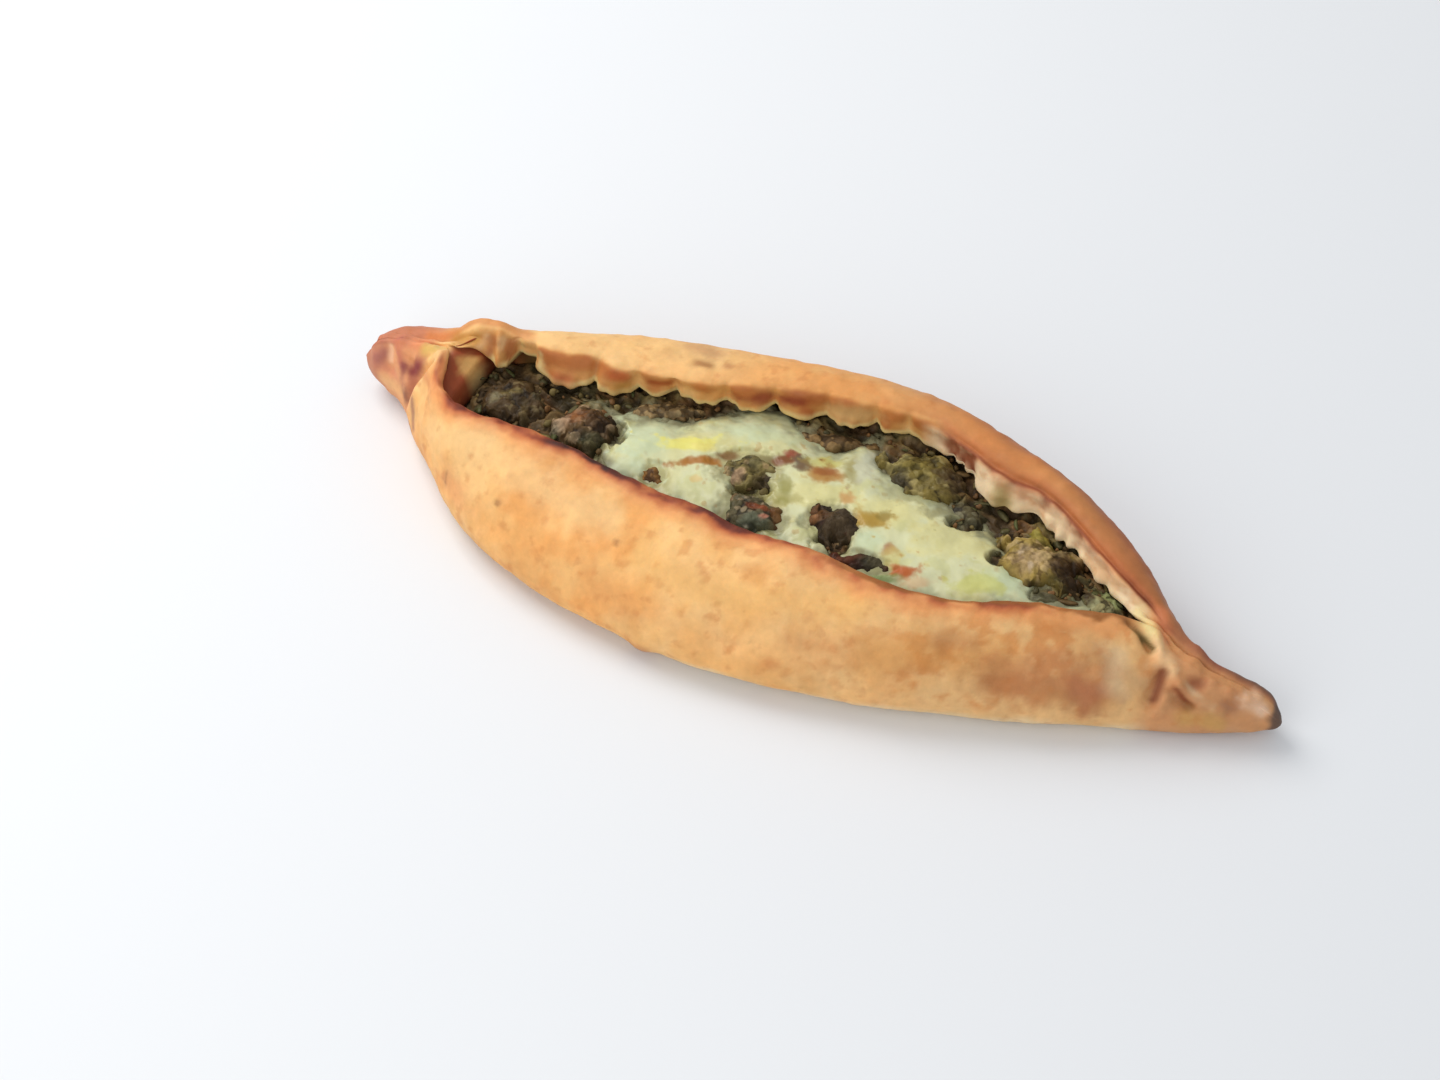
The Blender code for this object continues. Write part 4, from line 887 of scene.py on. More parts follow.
# Patches of the cheese: place, half sizes, turn in degrees, colour and strength
CHEESE_SPOTS = (
    (-50.5, -1.5, 8.0, 9.0, 27, MINT, 0.7),
    (-51.5, -12.5, 6.0, 4.0, 27, tint(196, 206, 170), 0.6),
    (-25.0, 16.5, 12.0, 5.5, 27, MINT, 0.8),
    (25.0, -7.5, 5.5, 4.0, 27, MINT, 0.7),
    (66.0, -4.0, 6.0, 6.0, 27, MINT, 0.8),
    (46.0, 4.0, 13.0, 8.0, 20, BUTTER, 0.7),
    (4.0, 2.0, 12.0, 6.0, 25, BUTTER, 0.8),
    (25.0, 5.0, 13.0, 6.0, 20, BUTTER, 0.7),
    (-34.0, 8.0, 10.0, 4.0, 27, BUTTER, 0.5),
    (-38.5, 2.5, 8.5, 3.0, 27, tint(228, 220, 112), 0.9),
    (-33.0, 3.5, 4.5, 2.2, 27, tint(222, 208, 120), 0.6),
    (-32.5, -2.0, 7.4, 1.9, 30, tint(164, 104, 22), 0.98),
    (-26.8, 3.6, 4.8, 2.0, 27, tint(120, 80, 30), 0.9),
    (-15.5, 8.6, 7.0, 2.2, 27, tint(122, 108, 62), 0.75),
    (-14.0, -5.5, 6.0, 2.6, 27, tint(124, 114, 70), 0.85),
    (-4.0, -4.0, 4.4, 3.0, 27, tint(164, 154, 88), 0.7),
    (-31.0, -9.5, 1.6, 1.4, 0, tint(212, 176, 104), 0.6),
    (-11.0, 10.5, 4.4, 2.8, 24, tint(124, 68, 26), 0.95),
    (-10.5, 13.5, 2.6, 1.3, 27, tint(150, 66, 36), 0.8),
    (-5.5, 10.0, 1.8, 4.2, 27, tint(98, 84, 64), 0.85),
    (2.5, 10.0, 7.2, 4.2, 27, tint(176, 122, 46), 0.9),
    (1.0, 15.0, 5.5, 2.4, 27, tint(198, 192, 110), 0.8),
    (8.5, 16.0, 3.0, 6.0, 27, tint(152, 142, 86), 0.8),
    (11.5, 20.5, 3.2, 7.5, 7, tint(206, 208, 180), 0.8),
    (12.5, 4.0, 2.0, 2.2, 27, tint(200, 150, 88), 0.85),
    (20.5, -1.0, 7.4, 3.4, 27, tint(172, 136, 46), 0.95),
    (25.0, 3.0, 1.8, 1.8, 27, tint(142, 122, 50), 0.75),
    (17.5, -5.5, 1.8, 4.4, 27, tint(160, 122, 48), 0.85),
    (31.5, -7.5, 2.2, 2.4, 27, tint(168, 108, 72), 0.85),
    (33.5, -10.0, 2.2, 5.5, 27, tint(206, 190, 100), 0.5),
    (38.5, -14.0, 3.8, 2.6, 27, tint(176, 84, 16), 0.98),
    (34.0, -18.0, 5.5, 1.8, 20, tint(118, 140, 76), 0.8),
    (44.0, -15.5, 4.5, 2.2, 27, tint(214, 172, 128), 0.6),
    (60.5, -8.0, 7.4, 3.6, 27, tint(192, 192, 106), 0.8),
    (-5.5, 0.0, 2.2, 5.0, 27, tint(150, 144, 74), 0.85),
    (59.0, 5.4, 1.6, 2.6, 27, tint(92, 88, 70), 0.7),
    (-14.0, 19.5, 9.0, 2.2, 27, tint(196, 202, 156), 0.5),
    (26.0, 15.0, 7.3, 4.0, 27, tint(158, 156, 114), 0.7),
    (43.0, 14.5, 8.0, 3.5, 27, tint(134, 132, 98), 0.75),
    (2.0, 11.5, 4.4, 2.4, 27, tint(150, 82, 30), 0.8),
    (-4.5, 9.5, 2.6, 2.6, 27, tint(112, 84, 54), 0.8),
)

CHEESE_STATIONS, CHEESE_ACROSS = 440, 190


def cheese_surface():
    """The melted cheese as rings of points, with a colour for each point."""
    stations = np.linspace(CHEESE_LEFT - 9, CHEESE_RIGHT + 7, CHEESE_STATIONS)
    share = np.linspace(0, 1, CHEESE_ACROSS)
    x = np.repeat(stations[:, None], CHEESE_ACROSS, 1)
    near_edge = np.maximum(cheese_near(stations) - 5, near_rim_y(stations) - 3)
    far_edge = np.minimum(cheese_far(stations) + 13, lip_line(stations) + 4)
    y = mix(near_edge[:, None], far_edge[:, None], share)
    flat = np.stack([x, y, 0 * x], -1)
    depth = cheese_depth(x, y)
    thick = ease(depth, 0.1, 1.8)
    relief = 0.25 * cloud(flat, 9, 62, 2) + 0.06 * cloud(flat, 2.6, 63, 2)
    top = level(x, y) + GAP - 0.3 + depth + relief * thick

    milky = depth + 0.5 * cloud(flat, 7, 64, 4)
    color = over(np.broadcast_to(VEIL, flat.shape), tint(172, 176, 140), ease(milky, 0.0, 1.5))
    color = over(color, MILK, ease(milky, 0.9, 2.4))
    # An olive tint in the cheese round the clumps: partly greens showing through, partly painted shade.
    for name in CLUMPS_IN_CHEESE:
        share_out = oval_share(x, y, *CLUMPS[name][:5]) + 0.25 * cloud(flat, 5, 69, 3)
        beside = 1 - ease(share_out, 1.0, 1.55)
        color = over(color, tint(140, 130, 82), 0.6 * beside)
    color = over(color, BUTTER, 0.5 * ease(cloud(flat, 16, 65, 3), 0, 0.8) * thick)
    color = over(color, tint(196, 194, 130), 0.45 * ease(cloud(flat, 5, 66, 3), 0.35, 0.9) * thick)
    color = over(color, tint(176, 132, 62), 0.45 * ease(cloud(flat, 2.6, 70, 2), 0.9, 1.3) * thick)
    color = paint_spots(color, x, y, CHEESE_SPOTS, 1 + 0.38 * cloud(flat, 3.4, 67, 4))
    by_the_rim = 1 - ease(y - near_rim_y(x) + 0.8 * cloud(flat, 6, 68, 3), 0.5, 3.5)
    color = over(color, tint(128, 116, 66), 0.7 * by_the_rim)

    grid = np.stack([x, y, top], -1)
    bottom_near = np.stack([stations, y[:, 0] + 0.5, top[:, 0] - 2], -1)[:, None]
    bottom_far = np.stack([stations, y[:, -1] - 0.5, top[:, -1] - 2], -1)[:, None]
    rings = np.concatenate([bottom_near, bottom_far, grid[:, ::-1]], 1)
    dark = np.broadcast_to(VEIL, (CHEESE_STATIONS, 2, 3))
    return rings, np.concatenate([dark, color[:, ::-1]], 1)


def painted_object(name, points, faces, color, material):
    """A smooth-shaded object of points in millimetres, with a colour for each point."""
    mesh = bpy.data.meshes.new(name)
    mesh.from_pydata(((np.asarray(points) - MIDDLE) * MM).tolist(), [], faces)
    layer = mesh.color_attributes.new("paint", "FLOAT_COLOR", "POINT")
    rgba = np.concatenate([color, np.ones((len(color), 1))], 1)
    layer.data.foreach_set("color", rgba.astype(np.float32).ravel())
    mesh.shade_smooth()
    mesh.materials.append(material)
    piece = bpy.data.objects.new(name, mesh)
    bpy.context.scene.collection.objects.link(piece)
    return piece


def lofted_object(name, grid, color, material):
    """A closed object from rings of points, with a fan of triangles over each end."""
    stations, around = grid.shape[:2]
    points = np.concatenate([grid.reshape(-1, 3), [grid[0].mean(0)], [grid[-1].mean(0)]])
    colors = np.concatenate([color.reshape(-1, 3), [color[0].mean(0)], [color[-1].mean(0)]])
    j = np.arange(around)
    after = (j + 1) % around
    ring = (np.arange(stations - 1) * around)[:, None]
    quads = np.stack([ring + j, ring + around + j, ring + around + after, ring + after], -1)
    first, last, final = stations * around, stations * around + 1, (stations - 1) * around
    left_fan = np.stack([np.full(around, first), j, after], -1)
    right_fan = np.stack([np.full(around, last), final + after, final + j], -1)
    faces = quads.reshape(-1, 4).tolist() + left_fan.tolist() + right_fan.tolist()
    return painted_object(name, points, faces, colors, material)


def unit_ball(subdivisions):
    """The points and triangles of a ball of radius 1."""
    ball = bmesh.new()
    bmesh.ops.create_icosphere(ball, subdivisions=subdivisions, radius=1.0)
    points = np.array([vertex.co[:] for vertex in ball.verts])
    faces = [[vertex.index for vertex in face.verts] for face in ball.faces]
    ball.free()
    return points, faces


# How each clump is coloured: its body, its shaded dips and its pale grains, and how grainy it is
CLUMP_LOOKS = {
    "left_clump": (tint(76, 58, 34), tint(44, 34, 25), tint(112, 96, 64), 0.25),
    "round_clump": (tint(98, 74, 44), tint(54, 42, 30), tint(172, 146, 112), 0.35),
    "upper_clump": (tint(126, 112, 66), tint(62, 50, 34), tint(168, 142, 100), 0.3),
    "lower_clump": (tint(92, 84, 58), tint(46, 38, 28), tint(150, 132, 102), 0.3),
    "button_clump": (tint(66, 53, 36), tint(44, 34, 25), tint(120, 102, 78), 0.2),
    "flat_flake": (tint(62, 38, 20), tint(40, 26, 14), tint(84, 58, 34), 0.1),
    "olive_clump": (tint(126, 110, 56), tint(60, 50, 30), tint(168, 152, 98), 0.4),
    "dark_clump": (tint(92, 84, 58), tint(56, 48, 34), tint(128, 122, 96), 0.3),
    "large_clump": (tint(158, 134, 70), tint(88, 66, 34), tint(192, 166, 116), 0.4),
    "far_strip": (tint(158, 132, 90), tint(84, 68, 46), tint(168, 146, 104), 0.3),
    "middle_strip": (tint(128, 102, 64), tint(66, 50, 34), tint(146, 124, 86), 0.3),
    "right_clump": (tint(150, 142, 98), tint(78, 72, 48), tint(162, 160, 118), 0.3),
    "small_bit": (tint(132, 92, 44), tint(84, 56, 30), tint(166, 124, 74), 0.2),
}

# Patches of the clumps, among them painted highlights and a painted shade in the button's crease: place,
# half sizes, turn in degrees, colour and strength
CLUMP_SPOTS = (
    (-74.0, -3.5, 4.0, 3.6, 27, tint(156, 100, 58), 0.8),
    (-67.5, -2.5, 3.8, 4.4, 27, tint(66, 44, 24), 0.85),
    # Painted highlights on the left side of the round clump (this and the next patch).
    (-77.0, -6.5, 2.6, 3.0, 27, tint(190, 160, 128), 0.7),
    (-78.0, -10.5, 2.4, 3.0, 27, tint(126, 118, 96), 0.7),
    (-65.5, -10.0, 4.6, 3.2, 27, tint(80, 78, 50), 0.8),
    # Painted highlights on the left clump (these three patches).
    (-101.0, -5.0, 1.6, 2.4, 27, tint(140, 130, 98), 0.8),
    (-97.5, -1.5, 3.6, 1.4, 27, tint(124, 108, 64), 0.7),
    (-90.5, -5.5, 1.4, 4.0, 27, tint(112, 92, 54), 0.7),
    (-89.5, 0.5, 2.2, 3.0, 27, tint(72, 68, 50), 0.7),
    # Painted highlight on the upper clump.
    (-20.5, -2.5, 3.6, 1.6, 60, tint(170, 138, 108), 0.75),
    (-16.0, 1.0, 3.0, 2.0, 27, tint(132, 116, 62), 0.6),
    (-12.0, -0.5, 3.2, 4.4, 27, tint(70, 56, 40), 0.85),
    (-17.5, 6.0, 3.4, 3.4, 27, tint(104, 98, 66), 0.6),
    (-19.5, -10.0, 2.2, 2.8, 27, tint(114, 80, 48), 0.8),
    (-17.5, -14.5, 1.8, 2.8, 27, tint(56, 58, 36), 0.8),
    (-7.5, -18.0, 6.0, 3.6, 27, tint(94, 98, 78), 0.85),
    (-9.0, -11.5, 5.0, 1.5, 7, tint(134, 68, 36), 0.9),
    (-2.5, -12.0, 2.0, 5.0, 27, tint(108, 72, 34), 0.85),
    # Painted highlights on the lower clump (this and the next patch).
    (-5.5, -14.0, 1.4, 1.0, 27, tint(184, 120, 96), 0.8),
    (-9.0, -19.5, 1.1, 1.0, 27, tint(178, 172, 144), 0.8),
    (7.0, -6.5, 4.6, 3.4, 27, tint(104, 66, 32), 0.95),
    # Painted highlight on the button's cap.
    (7.0, -7.5, 1.7, 1.7, 27, tint(164, 114, 74), 0.8),
    # Painted shade in the crease under the button's cap.
    (9.5, -9.0, 4.2, 0.9, 22, tint(44, 28, 20), 0.95),
    # Painted highlight low on the button.
    (12.0, -14.0, 1.0, 0.9, 27, tint(140, 130, 108), 0.75),
    (16.0, -9.5, 4.0, 7.0, 27, tint(74, 60, 40), 0.8),
    (20.0, -17.0, 6.6, 3.8, 17, tint(98, 52, 32), 0.9),
    (29.5, -14.0, 4.4, 3.2, 27, tint(76, 72, 50), 0.8),
    (17.5, 27.5, 3.6, 4.0, 27, tint(172, 160, 106), 0.85),
    (26.5, 26.0, 6.6, 5.0, 27, tint(118, 104, 48), 0.7),
    (38.5, 27.0, 5.5, 5.5, 17, tint(72, 54, 38), 0.85),
    (22.0, 18.0, 4.0, 3.4, 27, tint(80, 70, 48), 0.8),
    (68.0, 17.5, 8.0, 3.4, 2, tint(142, 130, 54), 0.85),
    (69.0, 6.5, 6.4, 4.6, 17, tint(172, 142, 104), 0.6),
    (66.0, 7.5, 1.1, 1.3, 27, tint(206, 182, 148), 0.85),
    (70.5, 4.0, 1.1, 1.3, 27, tint(206, 182, 148), 0.85),
    (77.0, 8.5, 1.1, 1.3, 27, tint(190, 164, 128), 0.8),
    (82.5, 8.5, 7.4, 9.6, 10, tint(58, 36, 16), 0.97),
    (77.5, 1.0, 4.8, 3.2, 27, tint(100, 90, 44), 0.75),
    (73.5, -3.0, 6.6, 2.2, 7, tint(62, 52, 36), 0.8),
)

CLUMP_RINGS, CLUMP_SPOKES = 64, 150
# How far a clump's skirt runs out into the filling, as a share of the clump's size
CLUMP_SKIRT = 1.3


def clump_surface(name):
    """A clump of mince that grows out of the filling, as rings of points from its top outwards."""
    x, y, half_length, half_width, turn, tall = CLUMPS[name]
    body, dip, pale, graininess = CLUMP_LOOKS[name]
    seed = 70 + sorted(CLUMPS).index(name)
    share = np.linspace(0.02, CLUMP_SKIRT, CLUMP_RINGS)[:, None]
    spoke = np.linspace(0, 2 * np.pi, CLUMP_SPOKES, endpoint=False)
    turn = math.radians(turn)
    along, across = share * np.cos(spoke) * half_length, share * np.sin(spoke) * half_width
    place_x = x + along * math.cos(turn) - across * math.sin(turn)
    place_y = y + along * math.sin(turn) + across * math.cos(turn)
    flat = np.stack([place_x, place_y, 0 * place_x], -1)
    sideways = ease(share, 0.3, 1.0)
    place_x = place_x + 0.8 * sideways * cloud(flat, 4, seed + 20, 3)
    place_y = place_y + 0.8 * sideways * cloud(flat, 4, seed + 40, 3)

    edge = share + 0.2 * cloud(flat, 5, seed + 30, 4)
    dome = np.maximum(1 - np.maximum(edge, 0) ** 2, 0) ** 0.6
    grains, kind = pebbles(place_x, place_y, int(half_length * half_width * 3), 0.7, 2.1, seed + 50)
    relief = 0.4 * grains + 0.8 * cloud(flat, 5, seed + 60, 3) + 0.1 * cloud(flat, 1.4, seed + 70, 2)
    height = 0.85 * tall * dome + relief * (1 - ease(edge, 0.95, 1.2)) * min(1.0, tall / 4)
    place_z = level(place_x, place_y) - 0.4 + height - 3.0 * ease(edge, 0.95, CLUMP_SKIRT)

    color = over(np.broadcast_to(body, flat.shape), dip, 0.75 * (1 - ease(grains, -0.1, 0.45)))
    color = over(color, pale, 0.75 * (kind > 1 - graininess) * ease(grains, 0.1, 0.6))
    color = paint_spots(color, place_x, place_y, CLUMP_SPOTS, 1 + 0.3 * cloud(flat, 3, seed + 80, 3))
    # Painted shade in the crevices of the clump's relief.
    color = over(color, color * 0.35, 0.8 * (1 - ease(relief, -0.35, 0.5)))
    # Painted shade round the clump's foot, where it sinks into the filling.
    color = over(color, color * 0.4, 0.7 * ease(edge, 0.85, 1.15))
    rings = np.stack([place_x, place_y, place_z], -1)
    under = rings[-1:] - (0, 0, 1.5)
    return np.concatenate([rings, under]), np.concatenate([color, color[-1:]])


def scattered(count, seed, keep):
    """Seeded places on the filling for which keep is true, as x and y."""
    random = np.random.default_rng(seed)
    found_x, found_y = [], []
    while len(found_x) < count:
        x, y = random.uniform(-110, 104, 400), random.uniform(-24, 38, 400)
        inside = (y > near_rim_y(x) - 1) & (y < lip_line(x) + 2) & keep(x, y)
        found_x.extend(x[inside])
        found_y.extend(y[inside])
    return np.array(found_x[:count]), np.array(found_y[:count])


def surface_height(x, y):
    """The height of whatever lies on top at a place: filling or cheese."""
    return level(x, y) + np.maximum(cheese_depth(x, y) + GAP - 0.3, -0.1)


def on_dark(x, y):
    """Whether the filling shows at a place, bare of cheese."""
    return cheese_depth(x, y) < -0.3


CRUMB_COUNT = 150


def crumb_surfaces():
    """Small crumbs of mince, scattered over the dark parts of the filling, joined in one mesh."""
    random = np.random.default_rng(81)
    ball, ball_faces = unit_ball(2)
    places_x, places_y = scattered(CRUMB_COUNT, 82, on_dark)
    heights = surface_height(places_x, places_y)
    points, faces, colors = [], [], []
    for x, y, z in zip(places_x, places_y, heights):
        radius = random.uniform(0.45, 1.2)
        size = radius * random.uniform(0.7, 1.15, 3)
        lump = 1 + 0.3 * cloud(ball * size, radius, int(random.integers(1000)), 2)
        shade = (MINCE, OLIVE, MINCE, WILTED, SPINACH)[random.integers(5)]
        faces.extend([[corner + len(ball) * len(points) for corner in face] for face in ball_faces])
        points.append(ball * size * lump[:, None] + (x, y, z + 0.3 * radius))
        colors.append(np.broadcast_to(shade * random.uniform(0.6, 1.1), ball.shape))
    return np.concatenate(points), faces, np.concatenate(colors)


SHRED_COUNT, SHRED_STEPS = 90, 7


def shred(x, y, z, random, length, width):
    """A thin curled strip of leaf, as rings of four points."""
    turn, bend, tilt = random.uniform(0, 2 * np.pi), random.uniform(-1.2, 1.2), random.uniform(-0.25, 0.25)
    rings = []
    angle, here = turn, np.array((x, y, z))
    for k in range(SHRED_STEPS):
        share = k / (SHRED_STEPS - 1)
        half = width * (0.25 + math.sin(math.pi * (0.1 + 0.8 * share)))
        side = np.array((-math.sin(angle), math.cos(angle), tilt))
        up = np.array((0, 0, 0.12))
        crown = np.array((0, 0, 0.35 * math.sin(math.pi * share) + 0.12 * math.sin(9 * share)))
        rings.append(here + crown + np.array((side * half, up, -side * half, -up)))
        here = here + length / SHRED_STEPS * np.array((math.cos(angle), math.sin(angle), 0))
        angle += bend / SHRED_STEPS
    return np.stack(rings)


def shred_surfaces():
    """Wilted leaf shreds among the filling, joined in one mesh."""
    random = np.random.default_rng(91)
    places_x, places_y = scattered(SHRED_COUNT, 92, on_dark)
    heights = surface_height(places_x, places_y)
    leaves = []
    for x, y, z in zip(places_x, places_y, heights):
        leaves.append(shred(x, y, z + 0.3, random, random.uniform(2.5, 7.0), random.uniform(0.5, 1.3)))
    points, faces, colors = [], [], []
    shades = (SPINACH, WILTED, OLIVE, WILTED, tint(86, 88, 52))
    for number, rings in enumerate(leaves):
        start = number * SHRED_STEPS * 4
        for k in range(SHRED_STEPS - 1):
            for j in range(4):
                after = (j + 1) % 4
                a, b = start + 4 * k, start + 4 * (k + 1)
                faces.append([a + j, b + j, b + after, a + after])
        faces.append([start, start + 1, start + 2, start + 3])
        end = start + 4 * (SHRED_STEPS - 1)
        faces.append([end + 3, end + 2, end + 1, end])
        points.append(rings.reshape(-1, 3))
        colors.append(np.broadcast_to(shades[random.integers(5)], (SHRED_STEPS * 4, 3)))
    return np.concatenate(points), faces, np.concatenate(colors)


def add_node(tree, kind, **inputs):
    """A shader node with some of its inputs set, where a linked socket is given as a socket."""
    node = tree.nodes.new(kind)
    for name, value in inputs.items():
        socket = node.inputs[name.replace("_", " ")]
        if isinstance(value, bpy.types.NodeSocket):
            tree.links.new(value, socket)
        else:
            socket.default_value = value
    return node


def noise(tree, place, scale, detail, roughness=0.55):
    """Smooth noise with its features about 1/scale metres wide."""
    inputs = {"Vector": place, "Scale": scale, "Detail": detail, "Roughness": roughness}
    return add_node(tree, "ShaderNodeTexNoise", **inputs)


def remap(tree, value, low, high, to_low, to_high):
    """A value between low and high brought to lie between two others."""
    node = tree.nodes.new("ShaderNodeMapRange")
    tree.links.new(value, node.inputs["Value"])
    for name, number in zip(("From Min", "From Max", "To Min", "To Max"), (low, high, to_low, to_high)):
        node.inputs[name].default_value = number
    return node.outputs["Result"]


def times(tree, color, value):
    """A colour made lighter or darker by a value."""
    node = tree.nodes.new("ShaderNodeVectorMath")
    node.operation = "MULTIPLY"
    joined = add_node(tree, "ShaderNodeCombineXYZ", X=value, Y=value, Z=value)
    tree.links.new(color, node.inputs[0])
    tree.links.new(joined.outputs["Vector"], node.inputs[1])
    return node.outputs["Vector"]


def mixed(tree, first, second, amount):
    """Two colours mixed by an amount."""
    node = tree.nodes.new("ShaderNodeMix")
    node.data_type = "RGBA"
    for socket, value in ((node.inputs[6], first), (node.inputs[7], second), (node.inputs[0], amount)):
        if isinstance(value, bpy.types.NodeSocket):
            tree.links.new(value, socket)
        else:
            socket.default_value = value
    return node.outputs[2]


def painted_material(name, roughness, specular=0.5, subsurface=0.0, radius=(1, 0.5, 0.25)):
    """A material that starts from the paint of the mesh, with its tree, shader, paint and place."""
    material = bpy.data.materials.new(name)
    material.use_nodes = True
    tree = material.node_tree
    shader = tree.nodes["Principled BSDF"]
    shader.inputs["Roughness"].default_value = roughness
    shader.inputs["Specular IOR Level"].default_value = specular
    shader.inputs["Subsurface Weight"].default_value = subsurface
    shader.inputs["Subsurface Radius"].default_value = radius
    shader.inputs["Subsurface Scale"].default_value = 0.002
    paint = tree.nodes.new("ShaderNodeAttribute")
    paint.attribute_name = "paint"
    place = tree.nodes.new("ShaderNodeTexCoord").outputs["Object"]
    return material, tree, shader, paint.outputs["Color"], place


def bump(tree, shader, height, strength, distance):
    """Fine relief on a shader, from a height value."""
    node = tree.nodes.new("ShaderNodeBump")
    node.inputs["Strength"].default_value = strength
    node.inputs["Distance"].default_value = distance
    tree.links.new(height, node.inputs["Height"])
    tree.links.new(node.outputs["Normal"], shader.inputs["Normal"])


def crust_material():
    """Baked crust: mottled gold, with freckles, floury bloom and a fine skin."""
    material, tree, shader, paint, place = painted_material("baked_crust", 0.6, 0.35, subsurface=0.12)
    broad = noise(tree, place, 55, 6, 0.6).outputs["Fac"]
    fine = noise(tree, place, 420, 5, 0.6).outputs["Fac"]
    color = times(tree, paint, remap(tree, broad, 0.3, 0.7, 0.86, 1.1))
    freckles = remap(tree, noise(tree, place, 190, 3, 0.5).outputs["Fac"], 0.6, 0.72, 0.0, 0.35)
    color = mixed(tree, color, (*tint(196, 122, 62), 1), freckles)
    color = times(tree, color, remap(tree, fine, 0.25, 0.75, 0.93, 1.06))
    tree.links.new(color, shader.inputs["Base Color"])
    tree.links.new(remap(tree, broad, 0.3, 0.7, 0.52, 0.7), shader.inputs["Roughness"])
    bump(tree, shader, fine, 0.35, 0.0004)
    return material


def greens_material(name, roughness=0.42):
    """Cooked greens and mince: moist, with fine grain and uneven shine."""
    material, tree, shader, paint, place = painted_material(name, roughness, 0.16)
    grain = noise(tree, place, 700, 4, 0.6).outputs["Fac"]
    broad = noise(tree, place, 160, 4, 0.55).outputs["Fac"]
    color = times(tree, paint, remap(tree, grain, 0.3, 0.7, 0.8, 1.2))
    color = times(tree, color, remap(tree, broad, 0.3, 0.7, 0.8, 1.15))
    tree.links.new(color, shader.inputs["Base Color"])
    uneven = remap(tree, broad, 0.35, 0.65, roughness - 0.1, roughness + 0.2)
    tree.links.new(uneven, shader.inputs["Roughness"])
    bump(tree, shader, grain, 0.6, 0.0005)
    return material


def cheese_material():
    """Melted cheese: milky, a little see-through, glossy with oil."""
    material, tree, shader, paint, place = painted_material(
        "melted_cheese", 0.4, 0.4, subsurface=0.12, radius=(1, 0.9, 0.6)
    )
    soft = noise(tree, place, 130, 4, 0.5).outputs["Fac"]
    fine = noise(tree, place, 480, 3, 0.5).outputs["Fac"]
    color = times(tree, paint, remap(tree, soft, 0.3, 0.7, 0.92, 1.05))
    tree.links.new(color, shader.inputs["Base Color"])
    tree.links.new(remap(tree, soft, 0.35, 0.65, 0.3, 0.5), shader.inputs["Roughness"])
    bump(tree, shader, fine, 0.12, 0.0002)
    return material


def place_piece(piece, slot, *nodes):
    """Makes a piece ride on the body, and hides the solids it stands for."""
    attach(piece, "root")
    if nodes:
        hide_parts(*nodes)


def make_crust():
    """The finely divided crust in place of the dough."""
    share = np.linspace(0, 1, CRUST_STATIONS)
    middle, half = (LEFT_TIP + RIGHT_TIP) / 2, (RIGHT_TIP - LEFT_TIP) / 2 - 0.01
    stations = middle + half * mix(2 * share - 1, -np.cos(np.pi * share), 0.5)
    grid, place = crust_surface(stations)
    crust = lofted_object("crust", grid, crust_paint(grid, place), crust_material())
    place_piece(crust, "crust", "dough")


def make_filling():
    """The greens and the melted cheese on them."""
    grid, color = greens_surface()
    place_piece(lofted_object("greens", grid, color, greens_material("cooked_greens")), "greens", "filling")
    grid, color = cheese_surface()
    place_piece(lofted_object("melted_cheese", grid, color, cheese_material()), "cheese", "cheese")


def make_clumps():
    """The grainy clumps, each in place of its own solid."""
    browned = greens_material("browned_clump", 0.46)
    for name in CLUMPS:
        grid, color = clump_surface(name)
        piece = lofted_object(name + "_crumb", grid, color, browned)
        place_piece(piece, "olive_clump" if name in ("olive_clump", "large_clump") else "clump", name)


def make_scatter():
    """The small crumbs and leaf shreds in the greens."""
    points, faces, color = crumb_surfaces()
    crumbs = painted_object("mince_crumbs", points, faces, color, greens_material("mince_crumb", 0.46))
    place_piece(crumbs, "clump")
    points, faces, color = shred_surfaces()
    shreds = painted_object("leaf_shreds", points, faces, color, greens_material("leaf_shred", 0.4))
    place_piece(shreds, "greens")


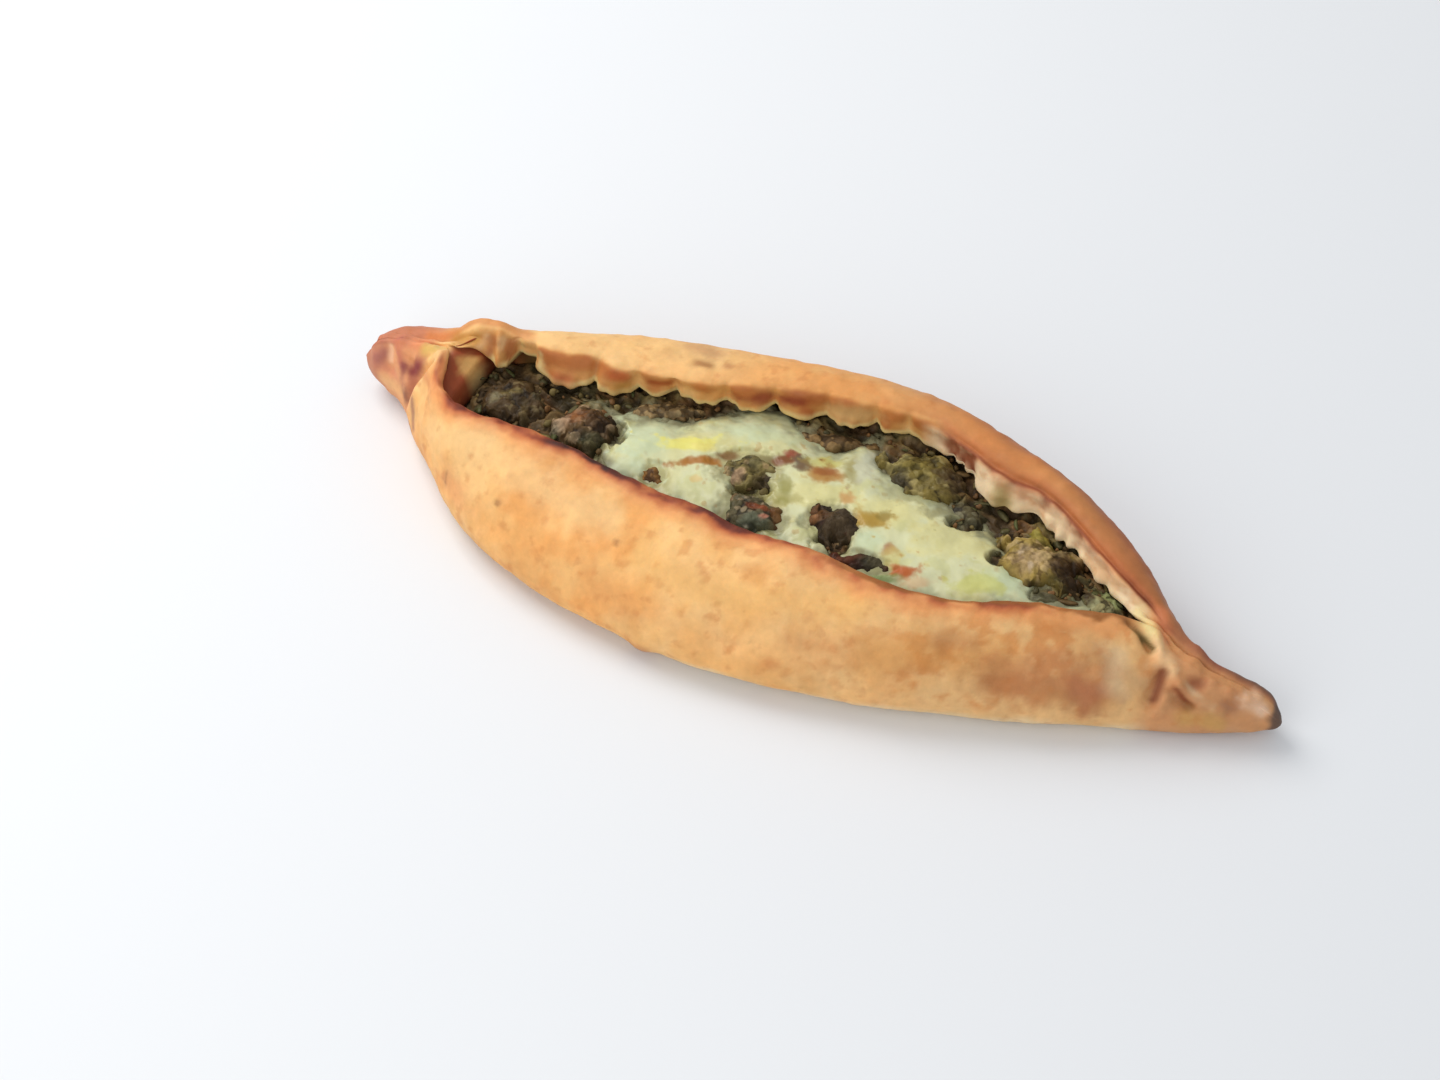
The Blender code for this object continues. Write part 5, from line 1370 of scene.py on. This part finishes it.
def make_floor():
    """A plain pale floor."""
    mesh = bpy.data.meshes.new("floor")
    half = 4.0
    corners = ((-half, -half, 0), (half, -half, 0), (half, half, 0), (-half, half, 0))
    mesh.from_pydata(corners, [], [(0, 1, 2, 3)])
    floor = bpy.data.objects.new("floor", mesh)
    bpy.context.scene.collection.objects.link(floor)
    material = bpy.data.materials.new("pale_floor")
    material.use_nodes = True
    shader = material.node_tree.nodes["Principled BSDF"]
    shader.inputs["Base Color"].default_value = (0.805, 0.825, 0.85, 1)
    shader.inputs["Roughness"].default_value = 0.6
    mesh.materials.append(material)


def make_light(name, place, aim, size, power, color):
    """A soft square light that faces its aim."""
    lamp = bpy.data.lights.new(name, "AREA")
    lamp.size = size
    lamp.energy = power
    lamp.color = color
    light = bpy.data.objects.new(name, lamp)
    light.location = place
    light.rotation_euler = (Vector(aim) - Vector(place)).to_track_quat("-Z", "Y").to_euler()
    bpy.context.scene.collection.objects.link(light)


# The camera: degrees round from the near side and up from the table, where it aims, and how far off it is
CAMERA_TURN, CAMERA_RISE = 26.9, 50.0
CAMERA_AIM = (-24.0, -6.2)
CAMERA_DISTANCE = 844.8
LENS, FILM_WIDTH = 70.0, 36.0


def make_studio():
    """A bright soft studio, lit from the left, with the camera at the photograph's angle."""
    scene = bpy.context.scene
    world = bpy.data.worlds.new("studio")
    world.use_nodes = True
    sky = world.node_tree.nodes["Background"]
    sky.inputs["Color"].default_value = (0.95, 0.97, 1.0, 1)
    sky.inputs["Strength"].default_value = 0.56
    scene.world = world
    make_light("key", (-0.75, 0.25, 0.85), (0, 0, 0), 0.7, 7.8, (1.0, 0.98, 0.95))
    make_light("front", (-0.25, -0.9, 0.6), (0, 0, 0), 0.9, 4.2, (1.0, 0.99, 0.97))

    azimuth, elevation = math.radians(CAMERA_TURN), math.radians(CAMERA_RISE)
    aim = Vector((CAMERA_AIM[0] - MIDDLE[0], CAMERA_AIM[1] - MIDDLE[1], 0)) * MM
    back = Vector((
        math.sin(azimuth) * math.cos(elevation),
        -math.cos(azimuth) * math.cos(elevation),
        math.sin(elevation),
    ))
    lens = bpy.data.cameras.new("camera")
    lens.lens = LENS
    lens.sensor_width = FILM_WIDTH
    camera = bpy.data.objects.new("camera", lens)
    camera.location = aim + back * CAMERA_DISTANCE * MM
    camera.rotation_euler = (-back).to_track_quat("-Z", "Y").to_euler()
    scene.collection.objects.link(camera)
    scene.camera = camera
    scene.view_settings.view_transform = "Standard"


make_studio()
make_floor()
make_crust()
make_filling()
make_clumps()
make_scatter()
